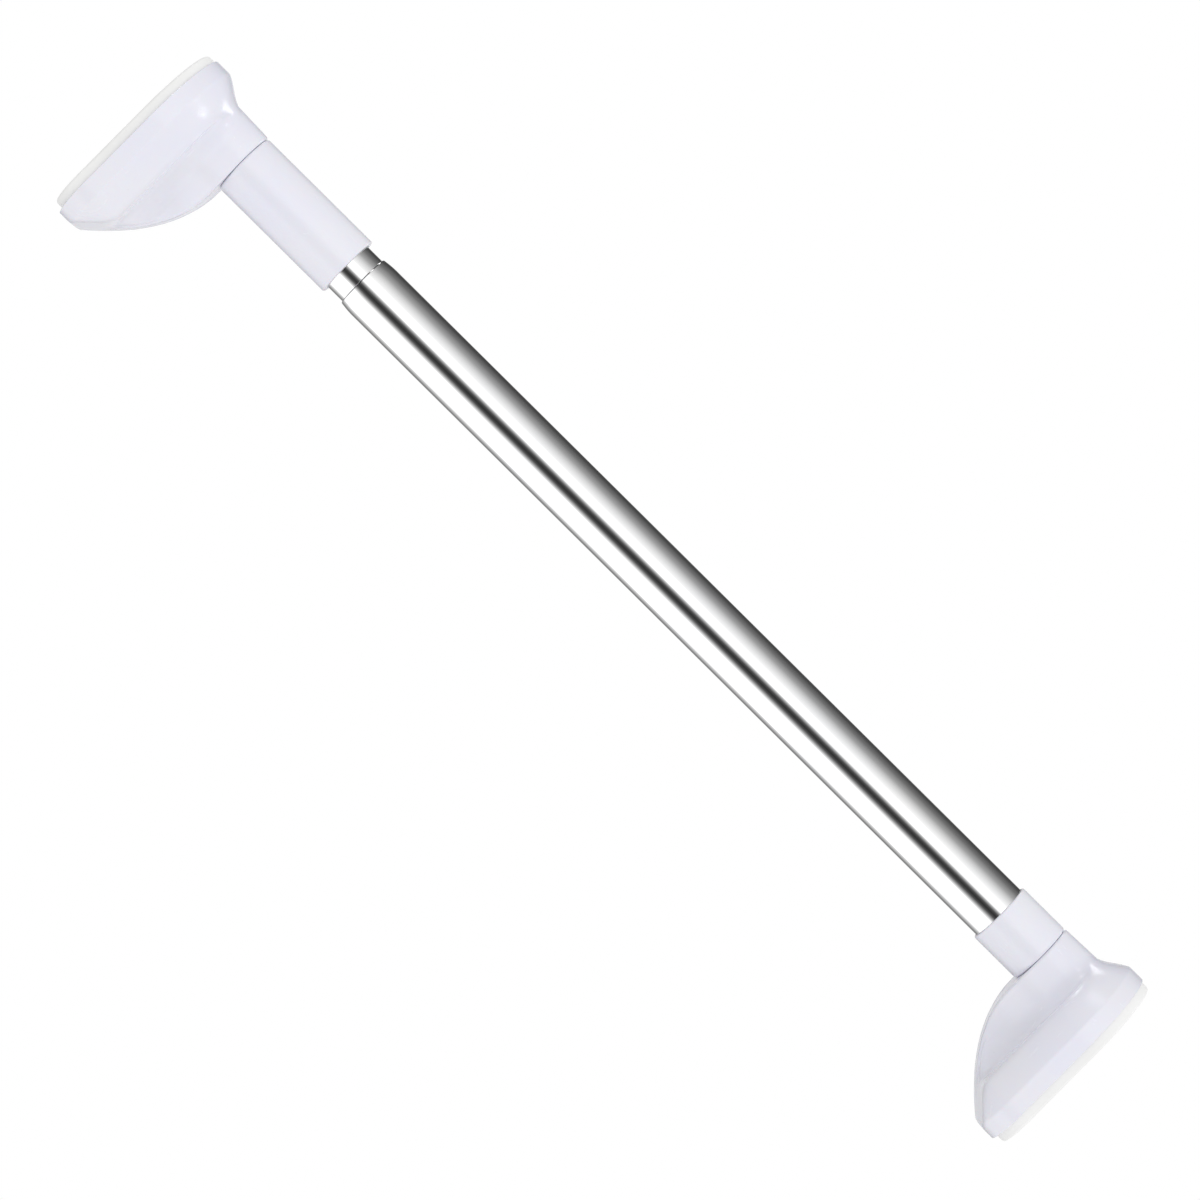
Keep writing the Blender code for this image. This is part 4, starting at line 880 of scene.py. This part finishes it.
def studio_world():
    """White to the camera, soft fill on matt surfaces, and cards and lamps for reflections."""
    world = bpy.data.worlds.new("studio")
    bpy.context.scene.world = world
    world.use_nodes = True
    world.node_tree.nodes.clear()
    nodes = Nodes(world.node_tree)

    direction = nodes.add("ShaderNodeTexCoord").outputs["Generated"]
    split = nodes.add("ShaderNodeSeparateXYZ")
    nodes.link(direction, split.inputs[0])
    turn = nodes.math("ARCTAN2", split.outputs["Z"], split.outputs["Y"])
    share = nodes.map_range(turn, -math.pi, math.pi, 0.0, 1.0)
    cards = nodes.ramp(share, [((angle + 180.0) / 360.0, level) for angle, level in CARDS])
    aside = nodes.math("ABSOLUTE", split.outputs["X"])
    fade = nodes.map_range(aside, *END_FADE, 1.0, END_LEVEL)
    shine = nodes.math("MULTIPLY", cards, fade)

    both_ends = nodes.add("ShaderNodeCombineXYZ")
    nodes.link(aside, both_ends.inputs["X"])
    nodes.link(split.outputs["Y"], both_ends.inputs["Y"])
    nodes.link(split.outputs["Z"], both_ends.inputs["Z"])
    for paired, towards, spread, level in LAMPS:
        source = both_ends.outputs[0] if paired else direction
        facing = nodes.dot(source, Vector(towards).normalized())
        edge = math.cos(math.radians(spread))
        glow = nodes.map_range(facing, edge, 1.0, 0.0, level, "SMOOTHSTEP")
        shine = nodes.math("ADD", shine, glow)

    fill = nodes.math("ADD", nodes.dot(direction, FILL_LEAN), FILL_LEVEL)
    path = nodes.add("ShaderNodeLightPath")
    lit = nodes.mix_shaders(
        path.outputs["Is Glossy Ray"], nodes.background(fill), nodes.background(shine))
    seen = nodes.mix_shaders(path.outputs["Is Camera Ray"], lit, nodes.background(WHITE))
    nodes.link(seen, nodes.add("ShaderNodeOutputWorld").inputs["Surface"])


def studio_floor():
    """Wide white floor, well under the bar, that neither lights nor shades it."""
    mesh = bpy.data.meshes.new("studio_floor")
    work = bmesh.new()
    bmesh.ops.create_circle(work, cap_ends=True, radius=FLOOR_RADIUS, segments=FLOOR_SIDES)
    work.to_mesh(mesh)
    work.free()
    floor = bpy.data.objects.new("studio_floor", mesh)
    floor.location = (BAR_LENGTH / 2.0, 0.0, FLOOR_HEIGHT)
    bpy.context.scene.collection.objects.link(floor)
    material = bpy.data.materials.new("pale_floor")
    material.use_nodes = True
    material.node_tree.nodes.clear()
    nodes = Nodes(material.node_tree)
    glow = nodes.add("ShaderNodeEmission")
    nodes.feed(glow.inputs["Color"], WHITE)
    nodes.link(glow.outputs[0], nodes.add("ShaderNodeOutputMaterial").inputs["Surface"])
    mesh.materials.append(material)
    floor.visible_diffuse = False
    floor.visible_glossy = False
    floor.visible_shadow = False


def studio_camera():
    """Long lens, level with the bar and rolled so the bar runs from upper left to lower right."""
    camera = bpy.data.cameras.new("camera")
    camera.sensor_width = SENSOR
    camera.lens = SENSOR * CAMERA_DISTANCE / VIEW_WIDTH
    camera.clip_end = CAMERA_REACH
    holder = bpy.data.objects.new("camera", camera)
    right = Vector((-math.cos(CAMERA_ROLL), 0.0, math.sin(CAMERA_ROLL)))
    up = Vector((math.sin(CAMERA_ROLL), 0.0, math.cos(CAMERA_ROLL)))
    back = Vector((0.0, 1.0, 0.0))
    turn = Matrix((right, up, back)).transposed().to_4x4()
    holder.matrix_world = Matrix.Translation(CAMERA_AIM + back * CAMERA_DISTANCE) @ turn
    bpy.context.scene.collection.objects.link(holder)
    bpy.context.scene.camera = holder


# ---------------------------------------------------------------- assembly

WHITE_ABS = moulded_abs("white_abs_moulded", (0.80, 0.80, 0.875))
CHROME = chromed_tube("chromed_tube")
RUBBER = soft_rubber("grip_rubber_soft")
FINISHES = {
    "white_abs": WHITE_ABS,
    "chrome_tube": CHROME,
    "grip_rubber": RUBBER,
    "black_nylon": dark_nylon("black_nylon_filled"),
    "natural_acetal": natural_acetal("natural_acetal_waxy"),
    "spring_steel": worked_metal(
        "spring_steel_blued", (0.36, 0.36, 0.40), (0.50, 0.50, 0.52), 0.34, (1.0, 1.0, 0.1)),
    "zinc_steel": worked_metal(
        "zinc_steel_plated", (0.62, 0.63, 0.66), (0.76, 0.76, 0.74), 0.28, (1.0, 0.1, 0.1)),
    "brass": worked_metal(
        "brass_turned", (0.72, 0.52, 0.22), (0.84, 0.67, 0.34), 0.26, (1.0, 0.1, 0.1)),
}

for cad_node, cad_slot in SLOTS.items():
    cad_materials = NODES[cad_node].data.materials
    cad_materials.clear()
    cad_materials.append(FINISHES[cad_slot])

for foot_side, foot_body in (("fixed", "fixed_foot"), ("jack", "jack_foot")):
    build_shell(foot_side, WHITE_ABS, foot_body)
    build_pad(foot_side, RUBBER, foot_body)
build_outer_tube(CHROME)
build_inner_tube(CHROME)
build_collar(WHITE_ABS)
build_sleeve(WHITE_ABS)

studio_world()
studio_floor()
studio_camera()
bpy.context.scene.view_settings.view_transform = "Standard"
